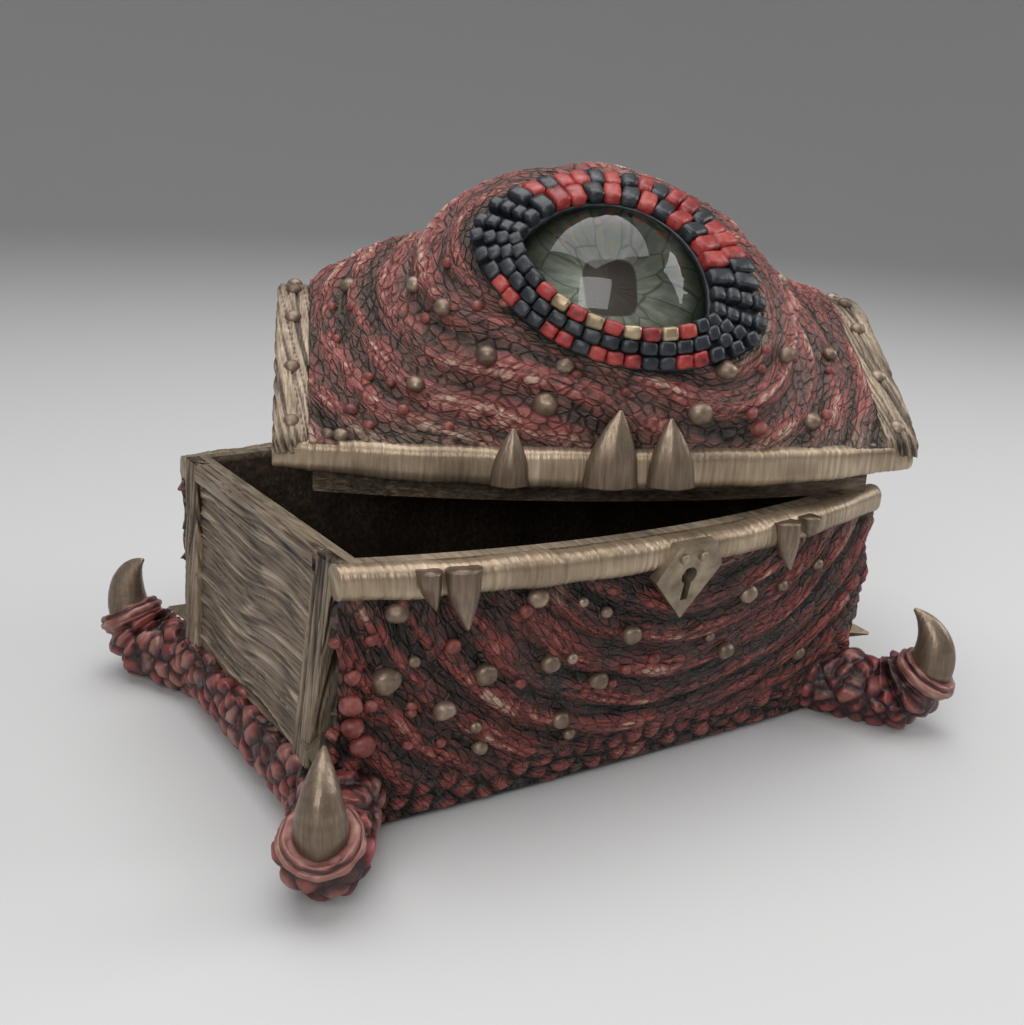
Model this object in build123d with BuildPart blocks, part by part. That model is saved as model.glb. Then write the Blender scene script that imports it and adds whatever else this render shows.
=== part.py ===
from build123d import *
from math import cos, radians, sin, sqrt
import os

# Keepsake chest: a bowed box clad in hide on four clawed feet, with a loose domed lid that carries
# a glass eye. X runs along the box, Y towards its back and Z up. The origin is on the table, at the
# middle of the felt. The lid is modelled in its own frame and then set down askew on the rim.

# Carcass of the box
cavity_length = 120.0
rim_depth = 79.0  # over the front and back posts at the rim
rim_height = 55.5  # table to rim
foot_depth = 66.0  # carcass depth at its foot
front_bow = 10.0  # how far the front swells past the posts at the rim
back_bow = 3.0
foot_bow = 1.5  # the same at the foot, front and back
wall = 3.0  # front and back walls
end_wall = 2.0
floor_thickness = 6.0
felt_thickness = 1.2
felt_margin = 8.0  # carcass edge to felt

# Hide on the front and back of the box
hide_foot = 3.5  # thickness at the foot, at the belly and under the lip
hide_belly = 5.5
hide_top = 3.5
belly_height = 27.0

# Lips along the box's rim
lip_height = 6.0
lip_depth = 4.0  # past the posts
lip_swell = 1.0  # bow in addition to the front's
lip_round = 1.6

# Timber ends of the box
post_width = 7.5
post_foot_height = 15.0
post_foot_thickness = 6.0
post_rim_thickness = 3.0
rail_height = 4.0
panel_recess = 1.5

# Pebbled band under each timber end
band_foot = 3.5  # how far it stands out from the carcass at the table, at its widest and at its top
band_swell = 8.0
band_top = 6.5

# Feet: a toe at each corner with a horn claw, and a faceted spur above its root
toe_yaw = 60.0
toe_length = 28.6  # heel to claw seat
toe_radius = 7.5
heel_inset = 2.5  # heel inside the carcass corner
toe_shares = ((0.0, 1.13, 1.2), (0.45, 0.97, 1.05), (0.8, 1.07, 1.01), (1.0, 1.75, 0.92))
toe_tilts = (0.0, 0.0, 28.0, 60.0)
claw_radius = 5.0
claw_bend = 11.3  # radius of the claw's curve
claw_turn = 90.0
claw_shares = (1.0, 0.93, 0.76, 0.46, 0.08)
spur_width = 11.0
spur_height = 9.5
spur_length = 13.0
spur_depth = 5.0  # length inside the corner
spur_level = 19.5  # table to the spur's axis
spur_yaw = 60.0
spur_tip_share = 0.08

# Teeth: an oval root, thinned to a point
tooth_depth = 5.0
tooth_stand = 0.6  # axis in front of the lip's edge
tooth_shares = ((0.0, 1.0), (0.4, 0.82), (0.75, 0.45), (1.0, 0.07))
lower_root = 0.4  # roots below the rim
lower_small_width = 4.6
lower_small_height = 7.5
lower_small_inset = 9.0  # from the cavity's end
lower_small_x = lower_small_inset - cavity_length / 2
lower_small_lean = 1.6
lower_large_width = 7.0
lower_large_height = 11.5
lower_large_inset = 15.0
lower_large_x = lower_large_inset - cavity_length / 2
lower_large_lean = 1.3
lower_right_width = 6.0
lower_right_height = 10.5
lower_right_inset = 32.4
lower_right_x = cavity_length / 2 - lower_right_inset
lower_right_lean = 2.2
stub_width = 4.6
stub_height = 4.5
stub_inset = 25.4
stub_x = cavity_length / 2 - stub_inset
stub_lean = 0.6

# Clasp plate on the front lip
clasp_x = 1.7
clasp_width = 15.5
clasp_height = 16.2
clasp_thickness = 2.4
clasp_drop = 0.3  # below the rim
clasp_sink = 0.8  # into the lip
clasp_tilt = 12.0
clasp_shares = ((-0.25, 0.0), (0.34, 0.0), (0.5, -0.32), (0.02, -1.0), (-0.5, -0.44))
keyhole_radius = 1.8
keyhole_slot = 1.7
keyhole_stem = 5.4
keyhole_level = 6.6  # below the plate's top
clasp_rivet_radius = 1.0
clasp_rivet_height = 0.8
clasp_rivet_level = 2.6
clasp_rivet_pitch = 4.6

# Lid
lid_overhang = 2.4  # straps past the posts at the rim
lid_depth = 77.0  # over the skirt at the straps
lid_bow = 12.0
lid_back_bow = 3.0
lid_end_height = 31.0  # crown over the straps
mound_height = 56.0  # crown over the eye
crown_width = 24.0  # over the straps
crown_drop = 4.5  # crown's fall over half its width
mound_width = 34.0  # the same over the eye
mound_drop = 3.0
mound_shift = 4.0  # crown ahead of the lid's middle, over the eye
crown_shares = ((-1.0, 0.0), (-0.77, 0.32), (-0.545, 0.52), (-0.29, 0.8), (0.03, 1.0),
                (0.32, 0.9), (0.545, 0.58), (0.77, 0.22), (1.0, 0.0))
end_bulge_share = 0.02
mound_bulge_share = 0.1
lid_hide_thickness = 3.0
shell_side = 9.0  # shell thickness at the skirt and at the crown
shell_crown = 6.0
hollow_inset = 4.0  # ends of the lid's hollow inside those of the cavity
plug_height = 6.0  # locating rim under the lid
plug_thickness = 2.5
plug_clearance = 0.5

# Lips, straps and end boards of the lid
lid_lip_height = 6.0
lid_lip_depth = 3.0
lid_lip_swell = 2.0
strap_width = 7.5
strap_thickness = 3.0
end_board_thickness = 2.5
end_board_recess = 2.5
strap_rivet_radius = 1.7
strap_rivet_height = 1.3
strap_rivet_shares = (0.08, 0.45, 0.8)
crown_rivet_share = 0.3

# Upper teeth on the lid's front lip
upper_root = 0.4  # roots above the lip's underside
upper_left_width = 7.8
upper_left_height = 11.2
upper_left_x = -21.8
upper_middle_width = 11.2
upper_middle_height = 15.3
upper_middle_x = -2.2
upper_middle_lean = 1.2
upper_right_width = 10.0
upper_right_height = 13.7
upper_right_x = 10.0
upper_right_lean = -0.8
upper_left_lean = 0.4

# Eye: a glass dome over a painted iris, in a socket through the lid, with rows of scales as lids
eye_x = 0.0
eye_setback = 0.5  # eye's middle behind the skirt at the straps
eye_y = eye_setback - lid_depth / 2
eye_z = 38.3
eye_tilt = 42.0
glass_radius = 20.0  # at the dome's edge
glass_height = 12.8
glass_base = 3.0
glass_sink = 2.5  # dome's edge below the lids' edge
iris_thickness = 0.8
socket_depth = 12.0
socket_taper = 25.0  # how the socket widens from the lids' edge to its back
socket_clearance = 0.15
lids_length = 57.0
lids_height = 46.0
lids_left_shares = (-0.495, 0.218)
lids_right_shares = (0.498, -0.302)
lids_top_shares = (0.07, 0.538)
lids_bottom_shares = (0.07, -0.465)
slit_length = 35.5
slit_height = 27.5
slit_left_shares = (-0.52, 0.225)
slit_right_shares = (0.473, -0.4)
slit_top_shares = (0.056, 0.473)
slit_bottom_shares = (0.056, -0.538)
bed_edge = 1.0  # bed's thickness at the lids' edge and its rise at the slit
bed_rise = 6.5
scale_height = 1.6
scale_gap = 0.45
scale_lift = 0.15  # over the bed, for its twist
colour_names = {"k": "black", "r": "red", "g": "gold"}
upper_orders = ("krrkrkrkrkrrk", "krkrrkrkrkrrkrrrkk")  # each row's colours from the left, innermost row first
lower_orders = ("kkrgrgrgrgr", "kkkkkkkkkkkkk", "krrkkrrkrrrkkrrk")
upper_row_shares = (0.24, 0.72)
lower_row_shares = (0.17, 0.5, 0.83)
row_end_share = 0.12
scale_fill_share = 0.82  # of the pitch along a row

# How the lid lies on the rim
lid_shift_x = 19.2
lid_shift_y = 13.2
lid_yaw = -23.7

overrun = 4.0  # cuts run this far past what they cut
side_names = {-1: "left", 1: "right"}
row_names = {-1: "front", 1: "back"}

carcass_half = cavity_length / 2 + end_wall
rim_half = carcass_half + post_rim_thickness
floor_level = felt_thickness + floor_thickness
lid_half = rim_half + lid_overhang
strap_inner = lid_half - strap_width
board_outer = lid_half - end_board_recess
shell_half = board_outer - end_board_thickness
reach_of_cuts = 4 * lid_half

os.makedirs("parts", exist_ok=True)


def finish(piece, name):
    """Label a piece and write it."""
    piece.label = name
    export_step(piece, "parts/" + name + ".step")


def lerp(start, end, share):
    return start + (end - start) * share


def bowed(edge, x):
    """Depth at x of a bowed edge: (depth at half length, bow, half length)."""
    depth, bow, half = edge
    radius = (half**2 + bow**2) / (2 * bow)
    return depth + bow - radius + sqrt(radius**2 - x**2)


def tier(height):
    """Front and back edges of the carcass at a height."""
    share = (height - felt_thickness) / (rim_height - felt_thickness)
    depth = lerp(foot_depth, rim_depth, share) / 2
    return (depth, lerp(foot_bow, front_bow, share), rim_half), (depth, lerp(foot_bow, back_bow, share), rim_half)


def grown(edge, depth, swell=0.0):
    return edge[0] + depth, edge[1] + swell, edge[2]


def outline(height, half, front, back):
    """A face at a height with straight ends and bowed front and back edges."""
    front_end = bowed(front, half)
    back_end = bowed(back, half)
    with BuildSketch(Plane.XY.offset(height)) as face:
        with BuildLine():
            ThreePointArc((-half, -front_end), (0, -bowed(front, 0)), (half, -front_end))
            Line((half, -front_end), (half, back_end))
            ThreePointArc((half, back_end), (0, bowed(back, 0)), (-half, back_end))
            Line((-half, back_end), (-half, -front_end))
        make_face()
    return face.sketch


def apron(height, half, edge, row):
    """A face at a height from the middle out to a bowed front (row -1) or back (row 1) edge."""
    end = row * bowed(edge, half)
    with BuildSketch(Plane.XY.offset(height)) as face:
        with BuildLine():
            Polyline((half, end), (half, 0), (-half, 0), (-half, end))
            ThreePointArc((-half, end), (0, row * bowed(edge, 0)), (half, end))
        make_face()
    return face.sketch


def slab(low, high):
    """A block lofted between two level rectangles: (height, x0, x1, y0, y1)."""
    faces = []
    for height, x0, x1, y0, y1 in (low, high):
        with BuildSketch(Plane.XY.offset(height)) as face:
            with Locations(((x0 + x1) / 2, (y0 + y1) / 2)):
                Rectangle(abs(x1 - x0), abs(y1 - y0))
        faces.append(face.sketch)
    with BuildPart() as block:
        loft(faces, ruled=True)
    return block


def fang(x, edge, level, width, height, lean, up):
    """A tooth on a lip: up is 1 where it rises and -1 where it hangs."""
    ovals = []
    for along_share, size_share in tooth_shares:
        at = (x + lean * along_share**2, -bowed(edge, x) - tooth_stand, level + up * height * along_share)
        with BuildSketch(Plane(origin=at)) as oval:
            Ellipse(width / 2 * size_share, tooth_depth / 2 * size_share)
        ovals.append(oval.sketch)
    with BuildPart() as tooth:
        loft(ovals)
    return tooth


# The carcass before it is cut to length and hollowed: hides and lips lie on its front and back
with BuildPart() as core:
    loft([outline(z, rim_half + overrun, *tier(z)) for z in (felt_thickness, rim_height)], ruled=True)

with BuildPart() as block:
    add(core.part)
    Box(2 * carcass_half, reach_of_cuts, reach_of_cuts, mode=Mode.INTERSECT)

with BuildPart() as carcass:
    add(block.part)
    loft([outline(z, cavity_length / 2, *(grown(edge, -wall) for edge in tier(z)))
          for z in (floor_level, rim_height + overrun)], ruled=True, mode=Mode.SUBTRACT)
finish(carcass.part, "carcass")

with BuildPart() as felt:
    with BuildSketch():
        Rectangle(2 * (carcass_half - felt_margin), foot_depth - 2 * felt_margin)
    extrude(amount=felt_thickness)
finish(felt.part, "felt_pad")

# Timber ends: wedge-shaped posts, a recessed panel between them and a rail on top, on a pebbled band


def end_thickness(height):
    share = (height - post_foot_height) / (rim_height - post_foot_height)
    return lerp(post_foot_thickness, post_rim_thickness, share)


posts = {}
bands = {}
for side, side_name in side_names.items():
    def timber(height, recess, inner, outer):
        """A level rectangle of an end: from the carcass outwards, between two depths."""
        return (height, side * carcass_half, side * (carcass_half + end_thickness(height) - recess), inner, outer)

    def post_inner(height):
        return tier(height)[0][0] - post_width

    for row, row_name in row_names.items():
        post = slab(*(timber(z, 0, row * post_inner(z), row * (post_inner(z) + post_width))
                      for z in (post_foot_height, rim_height)))
        posts[row, side] = post
        finish(post.part, "post_" + row_name + "_" + side_name)

    rail_level = rim_height - rail_height
    panel = slab(*(timber(z, panel_recess, -post_inner(z), post_inner(z)) for z in (post_foot_height, rail_level)))
    finish(panel.part, "end_panel_" + side_name)
    rail = slab(*(timber(z, 0, -post_inner(z), post_inner(z)) for z in (rail_level, rim_height)))
    finish(rail.part, "end_rail_" + side_name)

    with BuildPart() as band:
        with BuildSketch(Plane.XZ) as profile:
            with BuildLine():
                low = (side * (carcass_half + band_foot), felt_thickness)
                widest = (side * (carcass_half + band_swell), (felt_thickness + post_foot_height) / 2)
                high = (side * (carcass_half + band_top), post_foot_height)
                ThreePointArc(low, widest, high)
                Polyline(high, (side * carcass_half, post_foot_height), (side * carcass_half, felt_thickness), low)
            make_face()
        extrude(amount=foot_depth / 2, both=True)
    bands[side] = band
    finish(band.part, "end_band_" + side_name)

# Teeth and clasp of the box
lip_edges = {row: grown(tier(rim_height)[max(row, 0)], lip_depth, lip_swell) for row in row_names}
lower_level = rim_height - lower_root
lower_teeth = {
    "lower_tooth_left_small": (lower_small_x, lower_small_width, lower_small_height, lower_small_lean),
    "lower_tooth_left_large": (lower_large_x, lower_large_width, lower_large_height, lower_large_lean),
    "lower_tooth_right_large": (lower_right_x, lower_right_width, lower_right_height, lower_right_lean),
    "lower_tooth_right_small": (stub_x, stub_width, stub_height, stub_lean),
}
fittings = []
for name, (x, width, height, lean) in lower_teeth.items():
    tooth = fang(x, lip_edges[-1], lower_level, width, height, lean, -1)
    fittings.append(tooth)
    finish(tooth.part, name)

clasp_plane = Plane(origin=(clasp_x, clasp_sink - bowed(lip_edges[-1], clasp_x), rim_height - clasp_drop),
                    x_dir=(1, 0, 0), z_dir=(0, -cos(radians(clasp_tilt)), -sin(radians(clasp_tilt))))
with BuildPart() as clasp_blank:
    with BuildSketch(clasp_plane):
        with BuildLine():
            Polyline(*((clasp_width * u, clasp_height * v) for u, v in clasp_shares), close=True)
        make_face()
    extrude(amount=clasp_thickness)
with BuildPart() as clasp:
    add(clasp_blank.part)
    with BuildSketch(clasp_plane):
        with Locations((0, -keyhole_level)):
            Circle(keyhole_radius)
        with Locations((0, -keyhole_level - keyhole_stem / 2)):
            Rectangle(keyhole_slot, keyhole_stem)
    extrude(amount=clasp_thickness, mode=Mode.SUBTRACT)
fittings.append(clasp_blank)
finish(clasp.part, "clasp_plate")

with BuildPart() as clasp_rivets:
    with BuildSketch(clasp_plane.offset(clasp_thickness)):
        with Locations((clasp_rivet_pitch / 2, -clasp_rivet_level), (-clasp_rivet_pitch / 2, -clasp_rivet_level)):
            Circle(clasp_rivet_radius)
    extrude(amount=clasp_rivet_height)
    heads = clasp_rivets.faces().filter_by(clasp_plane).group_by(Axis(clasp_plane.origin, clasp_plane.z_dir))[-1]
    fillet(heads.edges(), clasp_rivet_height / 2)
finish(clasp_rivets.part, "clasp_rivets")

# Spurs at the corners, above the toes
spurs = {}
for side, side_name in side_names.items():
    for row, row_name in row_names.items():
        spur_ahead = Vector(side * cos(radians(spur_yaw)), row * sin(radians(spur_yaw)), 0)
        spur_root = Vector(side * rim_half, row * tier(spur_level)[0][0], spur_level) - spur_ahead * spur_depth
        facets = []
        for along, size in ((0, 1), (spur_length, spur_tip_share)):
            facet_plane = Plane(origin=spur_root + spur_ahead * along, x_dir=(0, 0, 1), z_dir=spur_ahead)
            with BuildSketch(facet_plane) as facet:
                with BuildLine():
                    Polyline((spur_height / 2 * size, 0), (0, spur_width / 2 * size),
                             (-spur_height / 2 * size, 0), (0, -spur_width / 2 * size), close=True)
                make_face()
            facets.append(facet.sketch)
        with BuildPart() as spur:
            loft(facets, ruled=True)
            for neighbour in (block, bands[side], posts[row, side]):
                add(neighbour.part, mode=Mode.SUBTRACT)
        spurs[row, side] = spur
        finish(spur.part, "spur_" + row_name + "_" + side_name)

# Lips and hides of the box
hides = {}
lip_level = rim_height - lip_height
for row, row_name in row_names.items():
    with BuildPart() as lip:
        with BuildSketch():
            add(apron(0, rim_half, lip_edges[row], row))
        extrude(amount=lip_height)
        fillet(lip.edges().filter_by(GeomType.CIRCLE), lip_round)
    with BuildPart() as seated_lip:
        add(lip.part.moved(Location((0, 0, lip_level))))
        for neighbour in [core] + (fittings if row < 0 else []):
            add(neighbour.part, mode=Mode.SUBTRACT)
    finish(seated_lip.part, row_name + "_lip")

    with BuildPart() as hide:
        loft([apron(z, rim_half, grown(tier(z)[max(row, 0)], thickness), row)
              for z, thickness in ((felt_thickness, hide_foot), (belly_height, hide_belly), (lip_level, hide_top))],
             ruled=True)
        for neighbour in [core] + [spurs[row, side] for side in side_names] + (fittings if row < 0 else []):
            add(neighbour.part, mode=Mode.SUBTRACT)
    hides[row] = hide
    finish(hide.part, row_name + "_hide")

# Feet
for side, side_name in side_names.items():
    for row, row_name in row_names.items():
        corner = row_name + "_" + side_name
        ahead = Vector(side * cos(radians(toe_yaw)), row * sin(radians(toe_yaw)), 0)
        across = Vector(-ahead.Y, ahead.X, 0)
        heel = Vector(side * (carcass_half - heel_inset), row * (foot_depth / 2 - heel_inset), 0)

        def station(reach, level, tilt, radius):
            """A round section of the foot: its reach from the heel, its level and its rise from the table."""
            facing = ahead * cos(radians(tilt)) + Vector(0, 0, sin(radians(tilt)))
            origin = heel + ahead * reach + Vector(0, 0, level)
            with BuildSketch(Plane(origin=origin, x_dir=across, z_dir=facing)) as ring:
                Circle(radius)
            return ring.sketch

        with BuildPart() as toe:
            loft([station(toe_length * along, toe_radius * level, tilt, toe_radius * size)
                  for (along, level, size), tilt in zip(toe_shares, toe_tilts)])
            split(bisect_by=Plane.XY, keep=Keep.TOP)
            for neighbour in (block, hides[row], bands[side], posts[row, side], spurs[row, side]):
                add(neighbour.part, mode=Mode.SUBTRACT)
        finish(toe.part, "toe_" + corner)

        seat_level = toe_radius * toe_shares[-1][1]
        first_tilt = toe_tilts[-1]
        rings = []
        for count, size in enumerate(claw_shares):
            tilt = first_tilt + claw_turn * count / (len(claw_shares) - 1)
            out = claw_bend * (sin(radians(tilt)) - sin(radians(first_tilt)))
            rise = claw_bend * (cos(radians(first_tilt)) - cos(radians(tilt)))
            rings.append(station(toe_length + out, seat_level + rise, tilt, claw_radius * size))
        with BuildPart() as claw:
            loft(rings)
        finish(claw.part, "claw_" + corner)

# Lid, in its own frame: the origin is under the middle of its lip
lid_rest = Location((lid_shift_x, lid_shift_y, rim_height + plug_height), (0, 0, lid_yaw))
skirts = {-1: (lid_depth / 2, lid_bow, lid_half), 1: (lid_depth / 2, lid_back_bow, lid_half)}


def lid_points(x, rise, side_inset, crown_inset):
    """Corners of the lid's section at x: rise is 0 over the straps and 1 over the eye."""
    crown = lerp(lid_end_height - strap_thickness, mound_height - lid_hide_thickness, rise) - crown_inset
    front = side_inset - bowed(skirts[-1], x)
    back = bowed(skirts[1], x) - side_inset
    shoulder = crown - lerp(crown_drop, mound_drop, rise)
    reach = lerp(crown_width, mound_width, rise) / 2
    ridge = -mound_shift * rise
    return ((front, lid_lip_height), (ridge - reach, shoulder), (ridge, crown), (ridge + reach, shoulder),
            (back, lid_lip_height))


def swollen(start, end, rise):
    """Middle of an arc between two points, bulged to the left of the way from start to end."""
    share = lerp(end_bulge_share, mound_bulge_share, rise)
    return ((start[0] + end[0]) / 2 - (end[1] - start[1]) * share,
            (start[1] + end[1]) / 2 + (end[0] - start[0]) * share)


def lid_section(x, rise, side_inset, crown_inset, bottom):
    front, left, crown, right, back = lid_points(x, rise, side_inset, crown_inset)
    with BuildSketch(Plane(origin=(x, 0, 0), x_dir=(0, 1, 0), z_dir=(1, 0, 0))) as face:
        with BuildLine():
            ThreePointArc(front, swollen(front, left, rise), left)
            ThreePointArc(left, crown, right)
            ThreePointArc(right, swollen(right, back, rise), back)
            Polyline(back, (back[0], bottom), (front[0], bottom), front)
        make_face()
    return face.sketch


def lid_loft(half, side_inset, crown_inset, bottom):
    return [lid_section(half * along, rise, side_inset, crown_inset, bottom) for along, rise in crown_shares]


with BuildPart() as lid_core:
    loft(lid_loft(shell_half, 0, 0, 0))

eye = Plane(origin=(eye_x, eye_y, eye_z), x_dir=(1, 0, 0), z_dir=(0, -cos(radians(eye_tilt)), sin(radians(eye_tilt))))
glass_curve = (glass_radius**2 + glass_height**2) / (2 * glass_height)
glass_centre = glass_height - glass_curve
glass_seat = eye.offset(-glass_sink)


def almond(length, height, left, top, right, bottom):
    """Corner, top, corner and bottom of an almond outline round the eye."""
    return [(length * u, height * v) for u, v in (left, top, right, bottom)]


lids_points = almond(lids_length, lids_height, lids_left_shares, lids_top_shares, lids_right_shares,
                     lids_bottom_shares)
slit_points = almond(slit_length, slit_height, slit_left_shares, slit_top_shares, slit_right_shares,
                     slit_bottom_shares)


def almond_face(points, level):
    left, top, right, bottom = points
    with BuildSketch(eye.offset(level)) as face:
        with BuildLine():
            ThreePointArc(left, top, right)
            ThreePointArc(right, bottom, left)
        make_face()
    return face.sketch


with BuildPart() as socket_blank:
    extrude(almond_face(lids_points, 0), amount=-socket_depth, taper=-socket_taper)

with BuildPart() as shell:
    add(lid_core.part)
    loft(lid_loft(cavity_length / 2 - hollow_inset, shell_side, shell_crown, -overrun), mode=Mode.SUBTRACT)
    add(socket_blank.part, mode=Mode.SUBTRACT)
finish(shell.part.moved(lid_rest), "lid_shell")

plug_edges = [grown(edge, -wall - plug_clearance) for edge in tier(rim_height - plug_height)]
with BuildPart() as plug:
    with BuildSketch(Plane.XY.offset(-plug_height)):
        add(outline(0, cavity_length / 2 - plug_clearance, *plug_edges))
        add(outline(0, cavity_length / 2 - plug_clearance - plug_thickness,
                    *(grown(edge, -plug_thickness) for edge in plug_edges)), mode=Mode.SUBTRACT)
    extrude(amount=plug_height)
finish(plug.part.moved(lid_rest), "lid_rim")

lid_lip_edges = {row: grown(skirts[row], lid_lip_depth, lid_lip_swell) for row in row_names}
upper_teeth = {
    "upper_tooth_left": (upper_left_x, upper_left_width, upper_left_height, upper_left_lean),
    "upper_tooth_middle": (upper_middle_x, upper_middle_width, upper_middle_height, upper_middle_lean),
    "upper_tooth_right": (upper_right_x, upper_right_width, upper_right_height, upper_right_lean),
}
fangs = []
for name, (x, width, height, lean) in upper_teeth.items():
    tooth = fang(x, lid_lip_edges[-1], upper_root, width, height, lean, 1)
    fangs.append(tooth)
    finish(tooth.part.moved(lid_rest), name)

# End boards and straps
boards = []
for side, side_name in side_names.items():
    with BuildPart() as board:
        extrude(lid_section(side * shell_half, 0, 0, 0, 0), amount=side * end_board_thickness)
    boards.append(board)
    finish(board.part.moved(lid_rest), "lid_end_" + side_name)

    with BuildPart() as strap:
        extrude(lid_section(side * shell_half, 0, -strap_thickness, -strap_thickness, 0).moved(
            Location((side * (strap_inner - shell_half), 0, 0))), amount=side * strap_width)
        extrude(lid_section(side * shell_half, 0, 0, 0, -overrun), amount=side * 2 * strap_width, mode=Mode.SUBTRACT)
        add(lid_core.part, mode=Mode.SUBTRACT)
        split(bisect_by=Plane.XY.offset(lid_lip_height), keep=Keep.TOP)
    finish(strap.part.moved(lid_rest), "lid_strap_" + side_name)

    front, left, crown, right, back = lid_points(side * shell_half, 0, -strap_thickness, -strap_thickness)
    strap_middle = side * (strap_inner + strap_width / 2)
    slope = ThreePointArc(front, swollen(front, left, 0), left)
    ridge = ThreePointArc(left, crown, right)
    seats = []
    for curve, share in [(slope, share) for share in strap_rivet_shares] + [(ridge, crown_rivet_share)]:
        spot = curve @ share
        run = curve % share
        for row in row_names:
            seats.append(Plane(origin=(strap_middle, -row * spot.X, spot.Y), x_dir=(1, 0, 0),
                               z_dir=(0, row * run.Y, run.X)))
    with BuildPart() as rivets:
        for seat in seats:
            with BuildSketch(seat):
                Circle(strap_rivet_radius)
            extrude(amount=strap_rivet_height)
    finish(rivets.part.moved(lid_rest), "strap_rivets_" + side_name)

# Lips of the lid
for row, row_name in row_names.items():
    with BuildPart() as lid_lip:
        extrude(apron(0, lid_half, lid_lip_edges[row], row), amount=lid_lip_height)
        fillet(lid_lip.edges().filter_by(GeomType.CIRCLE), lip_round)
        extrude(apron(-overrun, lid_half + overrun, skirts[row], row), amount=lid_lip_height + 2 * overrun,
                mode=Mode.SUBTRACT)
        for neighbour in [lid_core] + boards + (fangs if row < 0 else []):
            add(neighbour.part, mode=Mode.SUBTRACT)
    finish(lid_lip.part.moved(lid_rest), "lid_" + row_name + "_lip")

# Hide of the lid, between the straps
with BuildPart() as lid_hide:
    loft(lid_loft(shell_half, -lid_hide_thickness, -lid_hide_thickness, 0))
    Box(2 * strap_inner, reach_of_cuts, reach_of_cuts, mode=Mode.INTERSECT)
    split(bisect_by=Plane.XY.offset(lid_lip_height), keep=Keep.TOP)
    for neighbour in [lid_core, socket_blank] + fangs:
        add(neighbour.part, mode=Mode.SUBTRACT)
finish(lid_hide.part.moved(lid_rest), "lid_hide")

# Eye
with BuildPart() as glass:
    with Locations(glass_seat.offset(glass_centre).location):
        Sphere(glass_curve)
    split(bisect_by=glass_seat, keep=Keep.TOP)
    with BuildSketch(glass_seat):
        Circle(glass_radius)
    extrude(amount=-glass_base)
finish(glass.part.moved(lid_rest), "eye_glass")

with BuildPart() as iris:
    with BuildSketch(glass_seat.offset(-glass_base)):
        Circle(glass_radius)
    extrude(amount=-iris_thickness)
finish(iris.part.moved(lid_rest), "eye_iris")

with BuildPart() as socket:
    add(socket_blank.part)
    with BuildSketch(eye):
        Circle(glass_radius + socket_clearance)
    extrude(amount=-glass_sink - glass_base - iris_thickness, mode=Mode.SUBTRACT)
finish(socket.part.moved(lid_rest), "eye_socket")

# Scales of the eyelids, in rows on a bed that slopes from the lids' edge up to the slit


def scale_row(upper, row_share, pitch_share, count):
    """Seats of a row's scales: (plane, length, width)."""
    pick = (0, 1, 2) if upper else (0, 3, 2)
    inner = ThreePointArc(*(slit_points[i] for i in pick))
    outer = ThreePointArc(*(lids_points[i] for i in pick))
    row_length = lerp(inner.length, outer.length, row_share) * (1 - 2 * row_end_share)
    seats = []
    for place in range(count):
        share = lerp(row_end_share, 1 - row_end_share, (place + 0.5) / count)
        near = (inner @ share) + Vector(0, 0, bed_rise)
        far = (outer @ share) + Vector(0, 0, bed_edge)
        slope = far - near
        run = (inner % share) * (1 - row_share) + (outer % share) * row_share
        tip = run.cross(slope).normalized()
        if tip.Z < 0:
            tip = -tip
        seat = Plane(origin=eye.from_local_coords(near + slope * row_share + tip * scale_lift),
                     x_dir=eye.from_local_coords(run) - eye.origin,
                     z_dir=eye.from_local_coords(tip) - eye.origin)
        width = run.normalized().cross(slope).length * pitch_share
        seats.append((seat, row_length / count * scale_fill_share, width - scale_gap))
    return seats


scale_colours = {"red": [], "black": [], "gold": []}
for upper, row_shares, orders in ((True, upper_row_shares, upper_orders), (False, lower_row_shares, lower_orders)):
    for row_share, order in zip(row_shares, orders):
        for letter, seat in zip(order, scale_row(upper, row_share, row_shares[1] - row_shares[0], len(order))):
            scale_colours[colour_names[letter]].append(seat)

for colour, seats in scale_colours.items():
    with BuildPart() as scales:
        for seat, length, width in seats:
            with BuildSketch(seat):
                Rectangle(length, width)
            extrude(amount=scale_height)
    finish(scales.part.moved(lid_rest), "eyelid_scales_" + colour)

with BuildPart() as eyelids:
    loft([almond_face(lids_points, bed_edge), almond_face(slit_points, bed_rise)], ruled=True)
    extrude(almond_face(lids_points, 0), amount=bed_edge)
    extrude(almond_face(slit_points, -overrun), amount=bed_rise + 2 * overrun, mode=Mode.SUBTRACT)
    with Locations(glass_seat.offset(glass_centre).location):
        Sphere(glass_curve + socket_clearance, mode=Mode.SUBTRACT)
finish(eyelids.part.moved(lid_rest), "eyelids")
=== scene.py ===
import bisect
import math
import random

import bmesh
import bpy
from mathutils import Matrix, Vector, noise


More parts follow.
